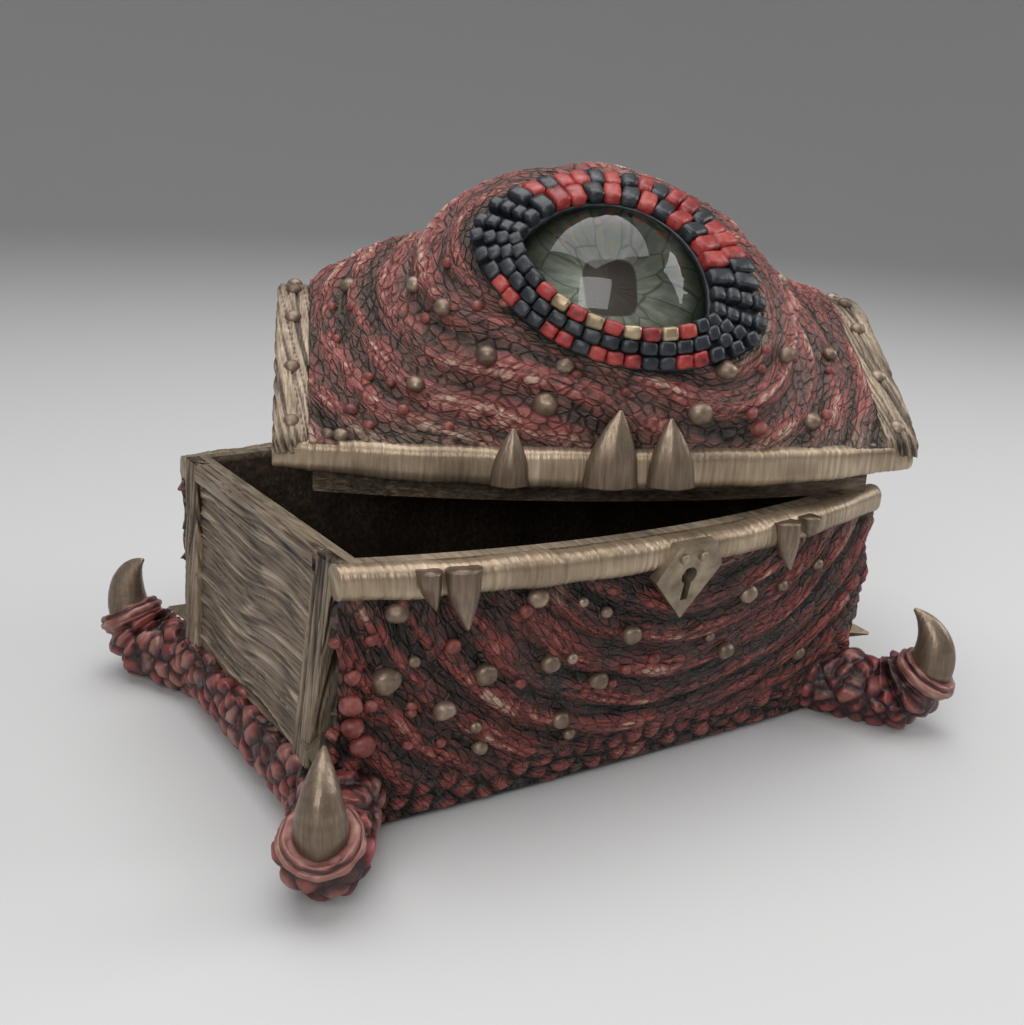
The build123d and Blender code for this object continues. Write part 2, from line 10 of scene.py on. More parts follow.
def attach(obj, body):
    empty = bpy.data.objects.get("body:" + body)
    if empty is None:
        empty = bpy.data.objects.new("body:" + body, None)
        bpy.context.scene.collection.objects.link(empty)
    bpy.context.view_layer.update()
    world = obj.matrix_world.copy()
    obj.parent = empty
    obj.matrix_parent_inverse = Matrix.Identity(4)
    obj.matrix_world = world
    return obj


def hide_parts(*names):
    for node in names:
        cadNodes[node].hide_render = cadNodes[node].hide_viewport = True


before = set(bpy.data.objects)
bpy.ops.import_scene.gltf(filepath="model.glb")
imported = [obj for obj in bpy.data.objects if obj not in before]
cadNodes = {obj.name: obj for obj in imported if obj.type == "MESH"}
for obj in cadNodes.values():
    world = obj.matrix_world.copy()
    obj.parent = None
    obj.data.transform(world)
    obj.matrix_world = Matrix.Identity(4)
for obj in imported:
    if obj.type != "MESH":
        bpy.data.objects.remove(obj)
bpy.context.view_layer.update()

# Keepsake chest with a hide-clad box and a loose domed lid. Sizes in the dictionaries are millimetres,
# and each mesh is turned into metres where it is put down.
scene = bpy.context.scene
scene.view_settings.view_transform = "Standard"
boxPlace = Matrix.Scale(0.001, 4)
lidRest = {"x": 19.2, "y": 13.2, "z": 61.5, "yaw": -23.7}
lidPlace = (boxPlace @ Matrix.Translation((lidRest["x"], lidRest["y"], lidRest["z"]))
            @ Matrix.Rotation(math.radians(lidRest["yaw"]), 4, "Z"))


def mix(start, end, share):
    return start + (end - start) * share


def ease(low, high, value):
    share = min(1.0, max(0.0, (value - low) / (high - low)))
    return share * share * (3 - 2 * share)


def bowDepth(edge, x):
    depth, bow, half = edge
    radius = (half * half + bow * bow) / (2 * bow)
    return depth + bow - radius + math.sqrt(max(0.0, radius * radius - x * x))


# smooth curve through stations: the first number of each station is its place
def throughStations(stations, place):
    last = len(stations) - 1
    at = 0
    while at < last - 1 and place > stations[at + 1][0]:
        at += 1
    before, start, end, after = (stations[min(last, max(0, at + k))] for k in (-1, 0, 1, 2))
    span = end[0] - start[0]
    t = min(1.0, max(0.0, (place - start[0]) / span))
    values = []
    for b, s, e, a in zip(before[1:], start[1:], end[1:], after[1:]):
        inTurn = (e - b) / max(1e-6, end[0] - before[0]) * span
        outTurn = (a - s) / max(1e-6, after[0] - start[0]) * span
        values.append((2 * t**3 - 3 * t**2 + 1) * s + (t**3 - 2 * t**2 + t) * inTurn
                      + (3 * t**2 - 2 * t**3) * e + (t**3 - t**2) * outTurn)
    return values


# points along a circular arc through three points
def arcSpots(start, middle, end, count):
    ax, ay = start
    bx, by = middle
    cx, cy = end
    twice = 2 * (ax * (by - cy) + bx * (cy - ay) + cx * (ay - by))
    if abs(twice) < 1e-6:
        return [(mix(ax, cx, k / count), mix(ay, cy, k / count)) for k in range(count + 1)]
    a2, b2, c2 = ax * ax + ay * ay, bx * bx + by * by, cx * cx + cy * cy
    ox = (a2 * (by - cy) + b2 * (cy - ay) + c2 * (ay - by)) / twice
    oy = (a2 * (cx - bx) + b2 * (ax - cx) + c2 * (bx - ax)) / twice
    first = math.atan2(ay - oy, ax - ox)
    half = (math.atan2(by - oy, bx - ox) - first) % (2 * math.pi)
    full = (math.atan2(cy - oy, cx - ox) - first) % (2 * math.pi)
    if half > full:
        full -= 2 * math.pi
    radius = math.hypot(ax - ox, ay - oy)
    return [(ox + radius * math.cos(first + full * k / count), oy + radius * math.sin(first + full * k / count))
            for k in range(count + 1)]


# a line of points that can be asked for the spot at any share of its length
class PathLine:
    def __init__(self, spots):
        self.spots = [Vector(spot) for spot in spots]
        self.runs = [0.0]
        for near, far in zip(self.spots, self.spots[1:]):
            self.runs.append(self.runs[-1] + (far - near).length)
        self.length = self.runs[-1]

    def at(self, share):
        want = min(1.0, max(0.0, share)) * self.length
        low = min(bisect.bisect_right(self.runs, want), len(self.runs) - 1) - 1
        step = self.runs[low + 1] - self.runs[low]
        return self.spots[low].lerp(self.spots[low + 1], (want - self.runs[low]) / step if step else 0.0)


# spot round a rectangle with rounded corners, by share of its girth, from the middle of its right side
def roundedBox(share, width, height, radius):
    flatW, flatH, turn = width - 2 * radius, height - 2 * radius, math.pi * radius / 2
    run = (share % 1.0) * (2 * flatW + 2 * flatH + 4 * turn)
    x, y = width / 2, 0.0
    headings = (0, 1), (-1, 0), (0, -1), (1, 0), (0, 1)
    for k, flat in enumerate((flatH / 2, flatW, flatH, flatW, flatH / 2)):
        dx, dy = headings[k]
        if run <= flat:
            return x + dx * run, y + dy * run
        x, y, run = x + dx * flat, y + dy * flat, run - flat
        if k < 4:
            ox, oy = x - dy * radius, y + dx * radius
            if run <= turn:
                angle = run / radius
                return (ox + radius * (dy * math.cos(angle) + dx * math.sin(angle)),
                        oy + radius * (-dx * math.cos(angle) + dy * math.sin(angle)))
            x, y, run = ox + dx * radius, oy + dy * radius, run - turn
    return x, y


# a flat grid whose points can carry a tone and the way their grain flows
def flatGrid(columns, rows):
    bm = bmesh.new()
    bmesh.ops.create_grid(bm, x_segments=columns, y_segments=rows, size=1.0)
    return bm, bm.verts.layers.float.new("ridge"), bm.verts.layers.float_vector.new("flow")


# a grid laid on a surface, raised along its normals and given a wall
def reliefSheet(columns, rows, spot, relief, wall, leaveOut=None, flip=False):
    bm, ridge, flow = flatGrid(columns, rows)
    shares = [((v.co.x + 1) / 2, (v.co.y + 1) / 2) for v in bm.verts]
    for v, (u, w) in zip(bm.verts, shares):
        v.co = spot(u, w)
    if flip:
        bmesh.ops.reverse_faces(bm, faces=bm.faces)
    bm.normal_update()
    for v, (u, w) in zip(bm.verts, shares):
        height, v[ridge], v[flow] = relief(u, w, v.co)
        v.co = v.co + v.normal * height
    if leaveOut:
        gone = [v for v in bm.verts if leaveOut(v.co)]
        bmesh.ops.delete(bm, geom=gone, context="VERTS")
    bm.normal_update()
    bmesh.ops.solidify(bm, geom=bm.faces[:], thickness=wall)
    return bm


# a grid rolled into a tube: ring gives the spot for a share along and a share round
def reliefTube(around, along, ring, relief=None, closed=False):
    bm, ridge, flow = flatGrid(around, along)
    for v in bm.verts:
        share, turn = (v.co.y + 1) / 2, (v.co.x + 1) / 2
        v[flow] = (share, turn, 0)
        v.co = ring(share, turn)
    bmesh.ops.remove_doubles(bm, verts=bm.verts[:], dist=0.0005)
    if not closed:
        bmesh.ops.holes_fill(bm, edges=[e for e in bm.edges if e.is_boundary], sides=0)
    bmesh.ops.recalc_face_normals(bm, faces=bm.faces[:])
    bm.normal_update()
    if relief:
        raised = []
        for v in bm.verts:
            height, v[ridge], grain = relief(v[flow][0], v[flow][1], v.co)
            raised.append((v, v.co + v.normal * height, grain))
        for v, spot, grain in raised:
            v.co = spot
            v[flow] = grain
    return bm


nearBy = 0.004  # share of a line that gives its direction


# where a piece that stands on a relief sits, and which way is out there
def seatOn(spot, relief, u, w, flip=False):
    at = spot(u, w)
    out = (spot(u + nearBy, w) - spot(u - nearBy, w)).cross(spot(u, w + nearBy) - spot(u, w - nearBy)).normalized()
    out = -out if flip else out
    return at + out * relief(u, w, at)[0], out


def putDown(name, bm, material, body, slotName, stands=(), place=None):
    bmesh.ops.transform(bm, matrix=place or (lidPlace if body == "lid" else boxPlace), verts=bm.verts[:])
    mesh = bpy.data.meshes.new(name)
    bm.to_mesh(mesh)
    bm.free()
    for polygon in mesh.polygons:
        polygon.use_smooth = True
    mesh.materials.append(material)
    piece = bpy.data.objects.new(name, mesh)
    scene.collection.objects.link(piece)
    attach(piece, body)
    if stands:
        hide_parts(*stands)
    return piece


# Finishes
def addNode(tree, kind, inputs=None, **settings):
    node = tree.nodes.new(kind)
    for key, value in settings.items():
        setattr(node, key, value)
    for key, value in (inputs or {}).items():
        if isinstance(value, bpy.types.NodeSocket):
            tree.links.new(value, node.inputs[key])
        else:
            node.inputs[key].default_value = value
    return node


def rampOf(tree, factor, stops):
    node = addNode(tree, "ShaderNodeValToRGB", {"Fac": factor})
    elements = node.color_ramp.elements
    while len(elements) < len(stops):
        elements.new(0.5)
    for element, (place, tone) in zip(elements, stops):
        element.position = place
        element.color = (*tone, 1) if isinstance(tone, tuple) else (tone, tone, tone, 1)
    return node.outputs["Color"]


def sums(tree, operation, a, b, clamp=False):
    return addNode(tree, "ShaderNodeMath", {0: a, 1: b}, operation=operation, use_clamp=clamp).outputs[0]


# level raised where value is above middle and lowered where it is below
def nudged(tree, level, value, amount, middle=0.5, clamp=False):
    return sums(tree, "ADD", level, sums(tree, "MULTIPLY", sums(tree, "SUBTRACT", value, middle), amount), clamp)


def halves(tree, first, share, second):
    return sums(tree, "ADD", sums(tree, "MULTIPLY", first, share), sums(tree, "MULTIPLY", second, 1 - share), True)


def blendTones(tree, factor, *tones):
    a, b = ((*tone, 1) if isinstance(tone, tuple) else tone for tone in tones)
    node = addNode(tree, "ShaderNodeMix", {0: factor, 6: a, 7: b}, data_type="RGBA", blend_type="MIX")
    return node.outputs[2]


def startFinish(name, **sockets):
    material = bpy.data.materials.new(name)
    material.use_nodes = True
    tree = material.node_tree
    shader = tree.nodes["Principled BSDF"]
    for key, value in sockets.items():
        shader.inputs[key.replace("_", " ")].default_value = value
    return material, tree, shader


def attribute(tree, name, output):
    return addNode(tree, "ShaderNodeAttribute", attribute_name=name).outputs[output]


def partOf(tree, vector, axis):
    return addNode(tree, "ShaderNodeSeparateXYZ", {"Vector": vector}).outputs[axis]


def objectSpots(tree):
    return addNode(tree, "ShaderNodeTexCoord").outputs["Object"]


def scaledSpots(tree, vector, scale, turn=0.0):
    return addNode(tree, "ShaderNodeMapping", {"Vector": vector, "Scale": scale,
                                               "Rotation": (0, 0, math.radians(turn))}).outputs["Vector"]


def noiseOf(tree, spots, scale, detail, roughness=0.5, distortion=0.0):
    inputs = {"Vector": spots, "Scale": scale, "Detail": detail, "Roughness": roughness, "Distortion": distortion}
    return addNode(tree, "ShaderNodeTexNoise", inputs).outputs["Fac"]


def cellsOf(tree, spots, scale, feature):
    node = addNode(tree, "ShaderNodeTexVoronoi", {"Vector": spots, "Scale": scale}, feature=feature)
    return node.outputs["Distance"]


# rough is a value and its stops, bump is a height, a strength and a distance
def paint(tree, shader, tone, rough=None, bump=None):
    tree.links.new(tone, shader.inputs["Base Color"])
    if rough:
        tree.links.new(rampOf(tree, *rough), shader.inputs["Roughness"])
    if bump:
        node = addNode(tree, "ShaderNodeBump", dict(zip(("Height", "Strength", "Distance"), bump)))
        tree.links.new(node.outputs["Normal"], shader.inputs["Normal"])


# red brushed on the tops of the strands, dark wash with painted shade in the gaps and fold valleys, pale bronze with
# a painted highlight on the highest crests, and bare bronze where the red was left off
lidHideFinish = {
    "fibre": (0.3, 2.3, 0.0), "cells": (0.34, 0.8, 0.0), "rough": (0.28, 0.48),
    "stops": ((0.0, (0.018, 0.015, 0.013)), (0.2, (0.075, 0.056, 0.046)), (0.4, (0.16, 0.082, 0.070)),
              (0.6, (0.31, 0.088, 0.078)), (0.82, (0.42, 0.155, 0.130)), (1.0, (0.60, 0.42, 0.33))),
    "bare": ((0.0, (0.014, 0.012, 0.010)), (0.3, (0.060, 0.050, 0.038)), (0.6, (0.15, 0.122, 0.09)),
             (1.0, (0.38, 0.31, 0.23))),
}
boxHideFinish = {
    "fibre": (0.22, 2.6, 0.0), "cells": (0.3, 0.8, 0.0), "rough": (0.22, 0.42),
    "stops": ((0.0, (0.010, 0.010, 0.009)), (0.22, (0.042, 0.033, 0.028)), (0.42, (0.115, 0.040, 0.033)),
              (0.62, (0.25, 0.050, 0.042)), (0.84, (0.35, 0.105, 0.082)), (1.0, (0.55, 0.38, 0.28))),
    "bare": ((0.0, (0.010, 0.010, 0.009)), (0.3, (0.045, 0.040, 0.032)), (0.6, (0.12, 0.10, 0.075)),
             (1.0, (0.36, 0.29, 0.21))),
}


def hideMaterial(name, look):
    material, tree, shader = startFinish(name, Metallic=0.15)
    flow = attribute(tree, "flow", "Vector")
    fibres = noiseOf(tree, scaledSpots(tree, flow, look["fibre"]), 1.0, 4.0, 0.6)
    grit = noiseOf(tree, objectSpots(tree), 520.0, 5.0, 0.65)
    broad = noiseOf(tree, objectSpots(tree), 48.0, 2.0)
    cells = cellsOf(tree, scaledSpots(tree, flow, look["cells"]), 1.0, "DISTANCE_TO_EDGE")
    crack = rampOf(tree, cells, ((0.0, 1.0), (0.13, 0.0)))
    level = nudged(tree, attribute(tree, "ridge", "Fac"), fibres, 0.5)
    # the cracks are drawn darker: dark wash with painted shade in them
    level = sums(tree, "SUBTRACT", level, sums(tree, "MULTIPLY", crack, 0.14))
    level = nudged(tree, nudged(tree, level, grit, 0.4), broad, 0.25, clamp=True)
    bare = nudged(tree, partOf(tree, flow, "Z"), broad, 1.6, 0.56, True)
    depth = sums(tree, "ADD", fibres, sums(tree, "MULTIPLY", grit, 0.5))
    depth = sums(tree, "SUBTRACT", depth, sums(tree, "MULTIPLY", crack, 0.6))
    tone = blendTones(tree, bare, rampOf(tree, level, look["stops"]), rampOf(tree, level, look["bare"]))
    paint(tree, shader, tone, (grit, ((0.3, look["rough"][0]), (0.75, look["rough"][1]))), (depth, 1.0, 0.0009))
    return material


# each pebble has a tint of its own, from red to worn bronze
pebbleFinish = {
    "stops": ((0.0, (0.010, 0.009, 0.009)), (0.35, (0.065, 0.017, 0.017)), (0.6, (0.20, 0.038, 0.038)),
              (0.85, (0.31, 0.095, 0.080)), (1.0, (0.42, 0.25, 0.18))),
    "worn": ((0.0, (0.012, 0.010, 0.009)), (0.35, (0.085, 0.040, 0.036)), (0.6, (0.24, 0.115, 0.095)),
             (0.85, (0.35, 0.22, 0.165)), (1.0, (0.46, 0.35, 0.26))),
}


def pebbleMaterial(name, look):
    material, tree, shader = startFinish(name, Metallic=0.2)
    tint = partOf(tree, attribute(tree, "flow", "Vector"), "X")
    grit = noiseOf(tree, objectSpots(tree), 480.0, 4.0)
    level = nudged(tree, attribute(tree, "ridge", "Fac"), grit, 0.55, clamp=True)
    tone = blendTones(tree, rampOf(tree, tint, ((0.42, 0.0), (0.72, 0.85))), rampOf(tree, level, look["stops"]),
                      rampOf(tree, level, look["worn"]))
    paint(tree, shader, tone, (grit, ((0.3, 0.28), (0.75, 0.5))), (grit, 0.55, 0.0004))
    return material


timberFinish = {"fine": (0.06, 2.4, 2.4), "streak": 0.8, "rough": 0.36,
                "stops": ((0.0, (0.024, 0.017, 0.012)), (0.3, (0.105, 0.078, 0.055)), (0.62, (0.295, 0.225, 0.158)),
                          (0.95, (0.57, 0.465, 0.35)))}
lipFinish = {"fine": (0.1, 2.0, 1.0), "streak": 0.3, "rough": 0.27,
             "stops": ((0.0, (0.045, 0.031, 0.02)), (0.3, (0.19, 0.136, 0.09)), (0.65, (0.38, 0.288, 0.196)),
                       (0.95, (0.64, 0.52, 0.385)))}


def timberMaterial(name, look):
    material, tree, shader = startFinish(name, Metallic=0.55)
    streaks = noiseOf(tree, scaledSpots(tree, attribute(tree, "flow", "Vector"), look["fine"]), 1.0, 4.0, 0.6)
    broad = noiseOf(tree, objectSpots(tree), 70.0, 2.0)
    level = nudged(tree, attribute(tree, "ridge", "Fac"), streaks, look["streak"])
    level = nudged(tree, level, broad, 0.5, clamp=True)
    paint(tree, shader, rampOf(tree, level, look["stops"]),
          (streaks, ((0.3, look["rough"] + 0.14), (0.7, look["rough"]))), (streaks, 0.6, 0.0003))
    return material


# grain on a CAD piece: turn is how far its grain is turned from X about Z
def boardMaterial(name, turn, stops, metallic):
    material, tree, shader = startFinish(name, Metallic=metallic)
    streaks = noiseOf(tree, scaledSpots(tree, objectSpots(tree), (60.0, 1100.0, 1100.0), turn), 1.0, 5.0, 0.6, 0.4)
    broad = noiseOf(tree, objectSpots(tree), 60.0, 2.0)
    paint(tree, shader, rampOf(tree, nudged(tree, streaks, broad, 0.5, clamp=True), stops),
          (streaks, ((0.3, 0.6), (0.7, 0.42))), (streaks, 0.7, 0.0004))
    return material


# the carcass is dark inside, with worn bronze grain on top of its rim
carcassFinish = {
    "rim": 0.0555, "dark": ((0.25, (0.018, 0.012, 0.008)), (0.55, (0.075, 0.05, 0.034)), (0.85, (0.20, 0.15, 0.10))),
    "worn": ((0.25, (0.06, 0.046, 0.032)), (0.5, (0.25, 0.195, 0.135)), (0.75, (0.44, 0.36, 0.26))),
}


def carcassMaterial(look):
    material, tree, shader = startFinish("carcassTimber", Metallic=0.4)
    spots = objectSpots(tree)
    streaks = noiseOf(tree, scaledSpots(tree, spots, (900.0, 120.0, 900.0)), 1.0, 5.0, 0.6, 0.4)
    level = nudged(tree, streaks, noiseOf(tree, spots, 60.0, 2.0), 0.6, clamp=True)
    top = rampOf(tree, sums(tree, "DIVIDE", partOf(tree, spots, "Z"), look["rim"]), ((0.97, 0.0), (0.995, 1.0)))
    paint(tree, shader, blendTones(tree, top, rampOf(tree, level, look["dark"]), rampOf(tree, level, look["worn"])),
          (streaks, ((0.3, 0.6), (0.7, 0.4))), (streaks, 0.7, 0.0004))
    return material


hornFinish = ((0.0, (0.05, 0.034, 0.024)), (0.4, (0.165, 0.118, 0.082)), (0.7, (0.27, 0.203, 0.146)),
              (1.0, (0.43, 0.345, 0.255)))


def hornMaterial(name, stops):
    material, tree, shader = startFinish(name, Metallic=0.6)
    streaks = noiseOf(tree, scaledSpots(tree, attribute(tree, "flow", "Vector"), (0.12, 1.6, 1.6)), 1.0, 4.0, 0.55)
    level = nudged(tree, attribute(tree, "ridge", "Fac"), streaks, 0.7, clamp=True)
    paint(tree, shader, rampOf(tree, level, stops), (streaks, ((0.3, 0.42), (0.7, 0.3))), (streaks, 0.35, 0.0003))
    return material


def wornBronze(name, stops, roughness=0.42):
    material, tree, shader = startFinish(name, Metallic=0.65)
    grit = noiseOf(tree, objectSpots(tree), 330.0, 5.0, 0.6)
    level = halves(tree, grit, 0.5, noiseOf(tree, objectSpots(tree), 90.0, 2.0))
    paint(tree, shader, rampOf(tree, level, stops), (grit, ((0.3, roughness + 0.12), (0.7, roughness - 0.06))),
          (grit, 0.4, 0.0003))
    return material


def enamel(name, dark, tone, worn, roughness):
    material, tree, shader = startFinish(name)
    grit = noiseOf(tree, objectSpots(tree), 600.0, 4.0)
    level = halves(tree, grit, 0.55, noiseOf(tree, objectSpots(tree), 170.0, 1.0))
    paint(tree, shader, rampOf(tree, level, ((0.3, dark), (0.5, tone), (0.75, worn))),
          (grit, ((0.3, roughness + 0.12), (0.7, roughness))), (grit, 0.45, 0.0003))
    return material


def feltMaterial():
    material, tree, shader = startFinish("greenFelt", Roughness=0.95)
    nap = noiseOf(tree, objectSpots(tree), 1500.0, 5.0)
    paint(tree, shader, rampOf(tree, nap, ((0.3, (0.012, 0.013, 0.012)), (0.7, (0.05, 0.052, 0.05)))),
          bump=(nap, 0.6, 0.0003))
    return material


def glassMaterial():
    material, tree, shader = startFinish("eyeGlass", Roughness=0.01, IOR=1.48, Transmission_Weight=1.0)
    haze = noiseOf(tree, objectSpots(tree), 35.0, 2.0)
    paint(tree, shader, rampOf(tree, haze, ((0.3, (0.84, 0.95, 0.88)), (0.7, (0.96, 0.99, 0.97)))))
    return material


# painted iris, read from the eye's own plane: olive-grey fibres, a dark upright pupil, gold specks on top
irisFinish = {
    "pupil": (4.3, 5.2), "edge": 19.0, "speckTop": 18.0,
    "fibres": ((0.3, (0.09, 0.095, 0.07)), (0.5, (0.26, 0.27, 0.215)), (0.7, (0.50, 0.505, 0.43))),
    "crack": (0.02, 0.018, 0.014), "speck": (0.46, 0.25, 0.05), "rim": (0.035, 0.075, 0.038),
    "brown": (0.045, 0.026, 0.017),
}


def irisMaterial(look):
    material, tree, shader = startFinish("paintedIris", Roughness=0.4, Metallic=0.1)
    flow = attribute(tree, "flow", "Vector")
    across, up = partOf(tree, flow, "X"), partOf(tree, flow, "Y")
    away = addNode(tree, "ShaderNodeVectorMath", {0: flow}, operation="LENGTH").outputs["Value"]
    angle = sums(tree, "ARCTAN2", up, across)
    polar = addNode(tree, "ShaderNodeCombineXYZ", {"X": sums(tree, "MULTIPLY", away, 0.12),
                                                   "Y": sums(tree, "MULTIPLY", angle, 5.0)}).outputs["Vector"]
    fibres = noiseOf(tree, polar, 1.0, 5.0, 0.6)
    tone = rampOf(tree, halves(tree, fibres, 0.6, noiseOf(tree, flow, 0.22, 3.0)), look["fibres"])
    cracks = cellsOf(tree, scaledSpots(tree, polar, (0.9, 0.42, 1.0)), 1.0, "DISTANCE_TO_EDGE")
    tone = blendTones(tree, rampOf(tree, cracks, ((0.0, 0.75), (0.035, 0.0))), tone, look["crack"])
    gilt = sums(tree, "MULTIPLY", rampOf(tree, cellsOf(tree, flow, 0.55, "F1"), ((0.24, 1.0), (0.36, 0.0))),
                rampOf(tree, sums(tree, "DIVIDE", up, look["speckTop"]), ((0.2, 0.0), (0.5, 0.9))))
    tone = blendTones(tree, gilt, tone, look["speck"])
    rim = rampOf(tree, sums(tree, "DIVIDE", away, look["edge"]), ((0.6, 0.0), (0.95, 1.0)))
    tone = blendTones(tree, rim, tone, look["rim"])
    # squarish pupil: the two distances to the fourth power, added
    wide, tall = (sums(tree, "POWER", sums(tree, "DIVIDE", sums(tree, "ABSOLUTE", way, 0.0), reach), 4.0)
                  for way, reach in zip((across, up), look["pupil"]))
    pupil = rampOf(tree, sums(tree, "ADD", wide, tall), ((0.75, 1.0), (1.0, 0.0)))
    paint(tree, shader, blendTones(tree, pupil, tone, look["brown"]), bump=(fibres, 0.5, 0.0004))
    return material


lidRed = hideMaterial("lidRed", lidHideFinish)
boxRed = hideMaterial("boxRed", boxHideFinish)
pebbledHide = pebbleMaterial("pebbledHide", pebbleFinish)
bronzeTimber = timberMaterial("bronzeTimber", timberFinish)
bronzeLip = timberMaterial("bronzeLip", lipFinish)
bronzeHorn = hornMaterial("bronzeHorn", hornFinish)
darkBoard = carcassMaterial(carcassFinish)
# the lid's inside, its end panels and the eye socket get a darker copy of the lid board finish: painted shade
lidBoard, shadedLidBoard = (boardMaterial(name, -lidRest["yaw"], stops, metallic) for name, stops, metallic in (
    ("lidBoard", ((0.25, (0.035, 0.024, 0.016)), (0.5, (0.15, 0.11, 0.072)), (0.8, (0.32, 0.25, 0.17))), 0.5),
    ("shadedLidBoard", ((0.25, (0.018, 0.012, 0.008)), (0.55, (0.07, 0.048, 0.032)), (0.85, (0.17, 0.125, 0.085))), 0.3)))
wartBronze = wornBronze("wartBronze", ((0.3, (0.10, 0.066, 0.048)), (0.5, (0.23, 0.165, 0.12)),
                                       (0.68, (0.42, 0.33, 0.25))))
wartRed = enamel("wartRed", (0.05, 0.014, 0.014), (0.20, 0.042, 0.036), (0.36, 0.16, 0.11), 0.4)
fittingBronze = wornBronze("fittingBronze", ((0.3, (0.09, 0.068, 0.045)), (0.5, (0.24, 0.19, 0.13)),
                                             (0.68, (0.42, 0.34, 0.24))), 0.36)
scalePaints = {
    "red": enamel("scaleRed", (0.10, 0.012, 0.012), (0.34, 0.032, 0.028), (0.50, 0.12, 0.09), 0.32),
    "black": enamel("scaleBlack", (0.006, 0.007, 0.010), (0.017, 0.021, 0.028), (0.06, 0.066, 0.07), 0.3),
    "gold": wornBronze("scaleGold", ((0.3, (0.18, 0.13, 0.075)), (0.5, (0.36, 0.27, 0.165)),
                                     (0.68, (0.52, 0.42, 0.28))), 0.34),
}

cadPaints = {"carcass": darkBoard, "felt_pad": feltMaterial(), "lid_rim": lidBoard}
cadPaints.update(dict.fromkeys(("lid_shell", "lid_end_left", "lid_end_right", "eye_socket"), shadedLidBoard))
cadPaints.update(dict.fromkeys((k for k in cadNodes if k.startswith(("spur_", "clasp_"))), fittingBronze))
for nodeName, finish in cadPaints.items():
    cadNodes[nodeName].data.materials.clear()
    cadNodes[nodeName].data.materials.append(finish)
print("finishes ready")


# carved grain: thin grooves that run along, at a depth of up to 1
def grainGroove(along, across, seed, spacing):
    wander = noise.noise(Vector((along * 0.045, across * 0.11, seed + 7.0)))
    value = noise.noise(Vector((along * 0.022, across / spacing + wander * 0.9, seed)))
    fine = noise.noise(Vector((along * 0.05, across * 1.9 / spacing, seed + 3.0)))
    return max(0.0, 1 - abs(value) / 0.13), max(0.0, 1 - abs(fine) / 0.2)


# folds of hide broken up into long wrinkles: height, tone and place across
def hideStrands(along, across, seed, look):
    warp = (1.3 * noise.noise(Vector((along * 0.03, across * 0.07, seed)))
            + 0.6 * noise.noise(Vector((along * 0.09, across * 0.13, seed + 9))))
    place = across + warp
    fold = 0.5 + 0.5 * math.cos(2 * math.pi * (across + 0.4 * warp) / look["spacing"])
    fold *= 0.8 + 0.4 * noise.noise(Vector((along * 0.05, across * 0.1, seed + 5)))
    crease = max(0.0, 1 - abs(noise.noise(Vector((along * look["along"], place / look["strand"], seed + 2)))) / 0.3)
    slanted = (along + look["slant"] * place) / look["bead"]
    cut = max(0.0, 1 - abs(noise.noise(Vector((slanted, place * 0.16, seed + 4)))) / 0.22) * ease(0.2, 0.7, fold)
    fine = noise.noise(Vector((along * 0.3, place * 1.1, seed + 3)))
    broad = noise.noise(Vector((along * 0.06, place * 0.1, seed + 6)))
    height = (fold - 0.4) * look["fold"] - crease * look["rope"] - cut * look["cut"] + 0.12 * fine
    # tone falls in the fold valleys, creases and cuts: dark wash with painted shade between the folds
    tone = look["valley"] + 0.95 * mix(look["shade"], 1.0, fold) * (1 - 0.62 * crease) * (1 - 0.5 * cut)
    return height, tone + 0.16 * fine + 0.22 * broad, place


# packed pebbles: rise, and a number that belongs to the pebble
def pebbleDome(spot, size):
    gaps, centres = noise.voronoi(spot / size)
    dome = min(1.0, (gaps[1] - gaps[0]) / 0.42) ** 0.7 * (1.05 - 0.5 * gaps[0] ** 2)
    return dome + 0.12 * noise.noise(spot * 0.9), 0.5 + 0.5 * noise.noise(centres[0] * 2.3)


# Box: the same bowed, flared form as the CAD carcass
boxForm = {"rimHalf": 65.0, "carcassHalf": 62.0, "rimDepth": 39.5, "footDepth": 33.0, "frontBow": 10.0,
           "backBow": 3.0, "footBow": 1.5, "felt": 1.2, "rim": 55.5}


def boxTier(z, back):
    share = (z - boxForm["felt"]) / (boxForm["rim"] - boxForm["felt"])
    bow = mix(boxForm["footBow"], boxForm["backBow"] if back else boxForm["frontBow"], share)
    return mix(boxForm["footDepth"], boxForm["rimDepth"], share), bow, boxForm["rimHalf"]


boxHide = {
    "columns": 280, "rows": 160, "wall": 2.2, "low": 1.0, "high": 50.0,
    # thickness of the hide over the carcass, by height
    "thickness": ((1.0, 3.2), (10.0, 4.1), (27.0, 5.4), (40.0, 4.6), (50.0, 3.4)),
    "centre": (10.0, 83.0),  # what the folds hang round, seen from the front
    "spacing": 7.2, "fold": 2.1, "strand": 1.8, "along": 0.05, "rope": 0.5, "bead": 3.4, "slant": 0.6, "cut": 0.3,
    # valley is the lowest tone, and shade the share of the fold tone left in the fold valleys: painted shade
    "valley": 0.12, "shade": 0.2, "seed": 11.0, "backSeed": 51.0,
    # pebbles along the foot and down the ends, and bare bronze under the lip
    "pebble": 4.2, "pebbleRise": 1.2, "footScales": (14, 5), "endScales": (55, 63), "endTop": (46, 30),
    "bare": (43, 49),
}


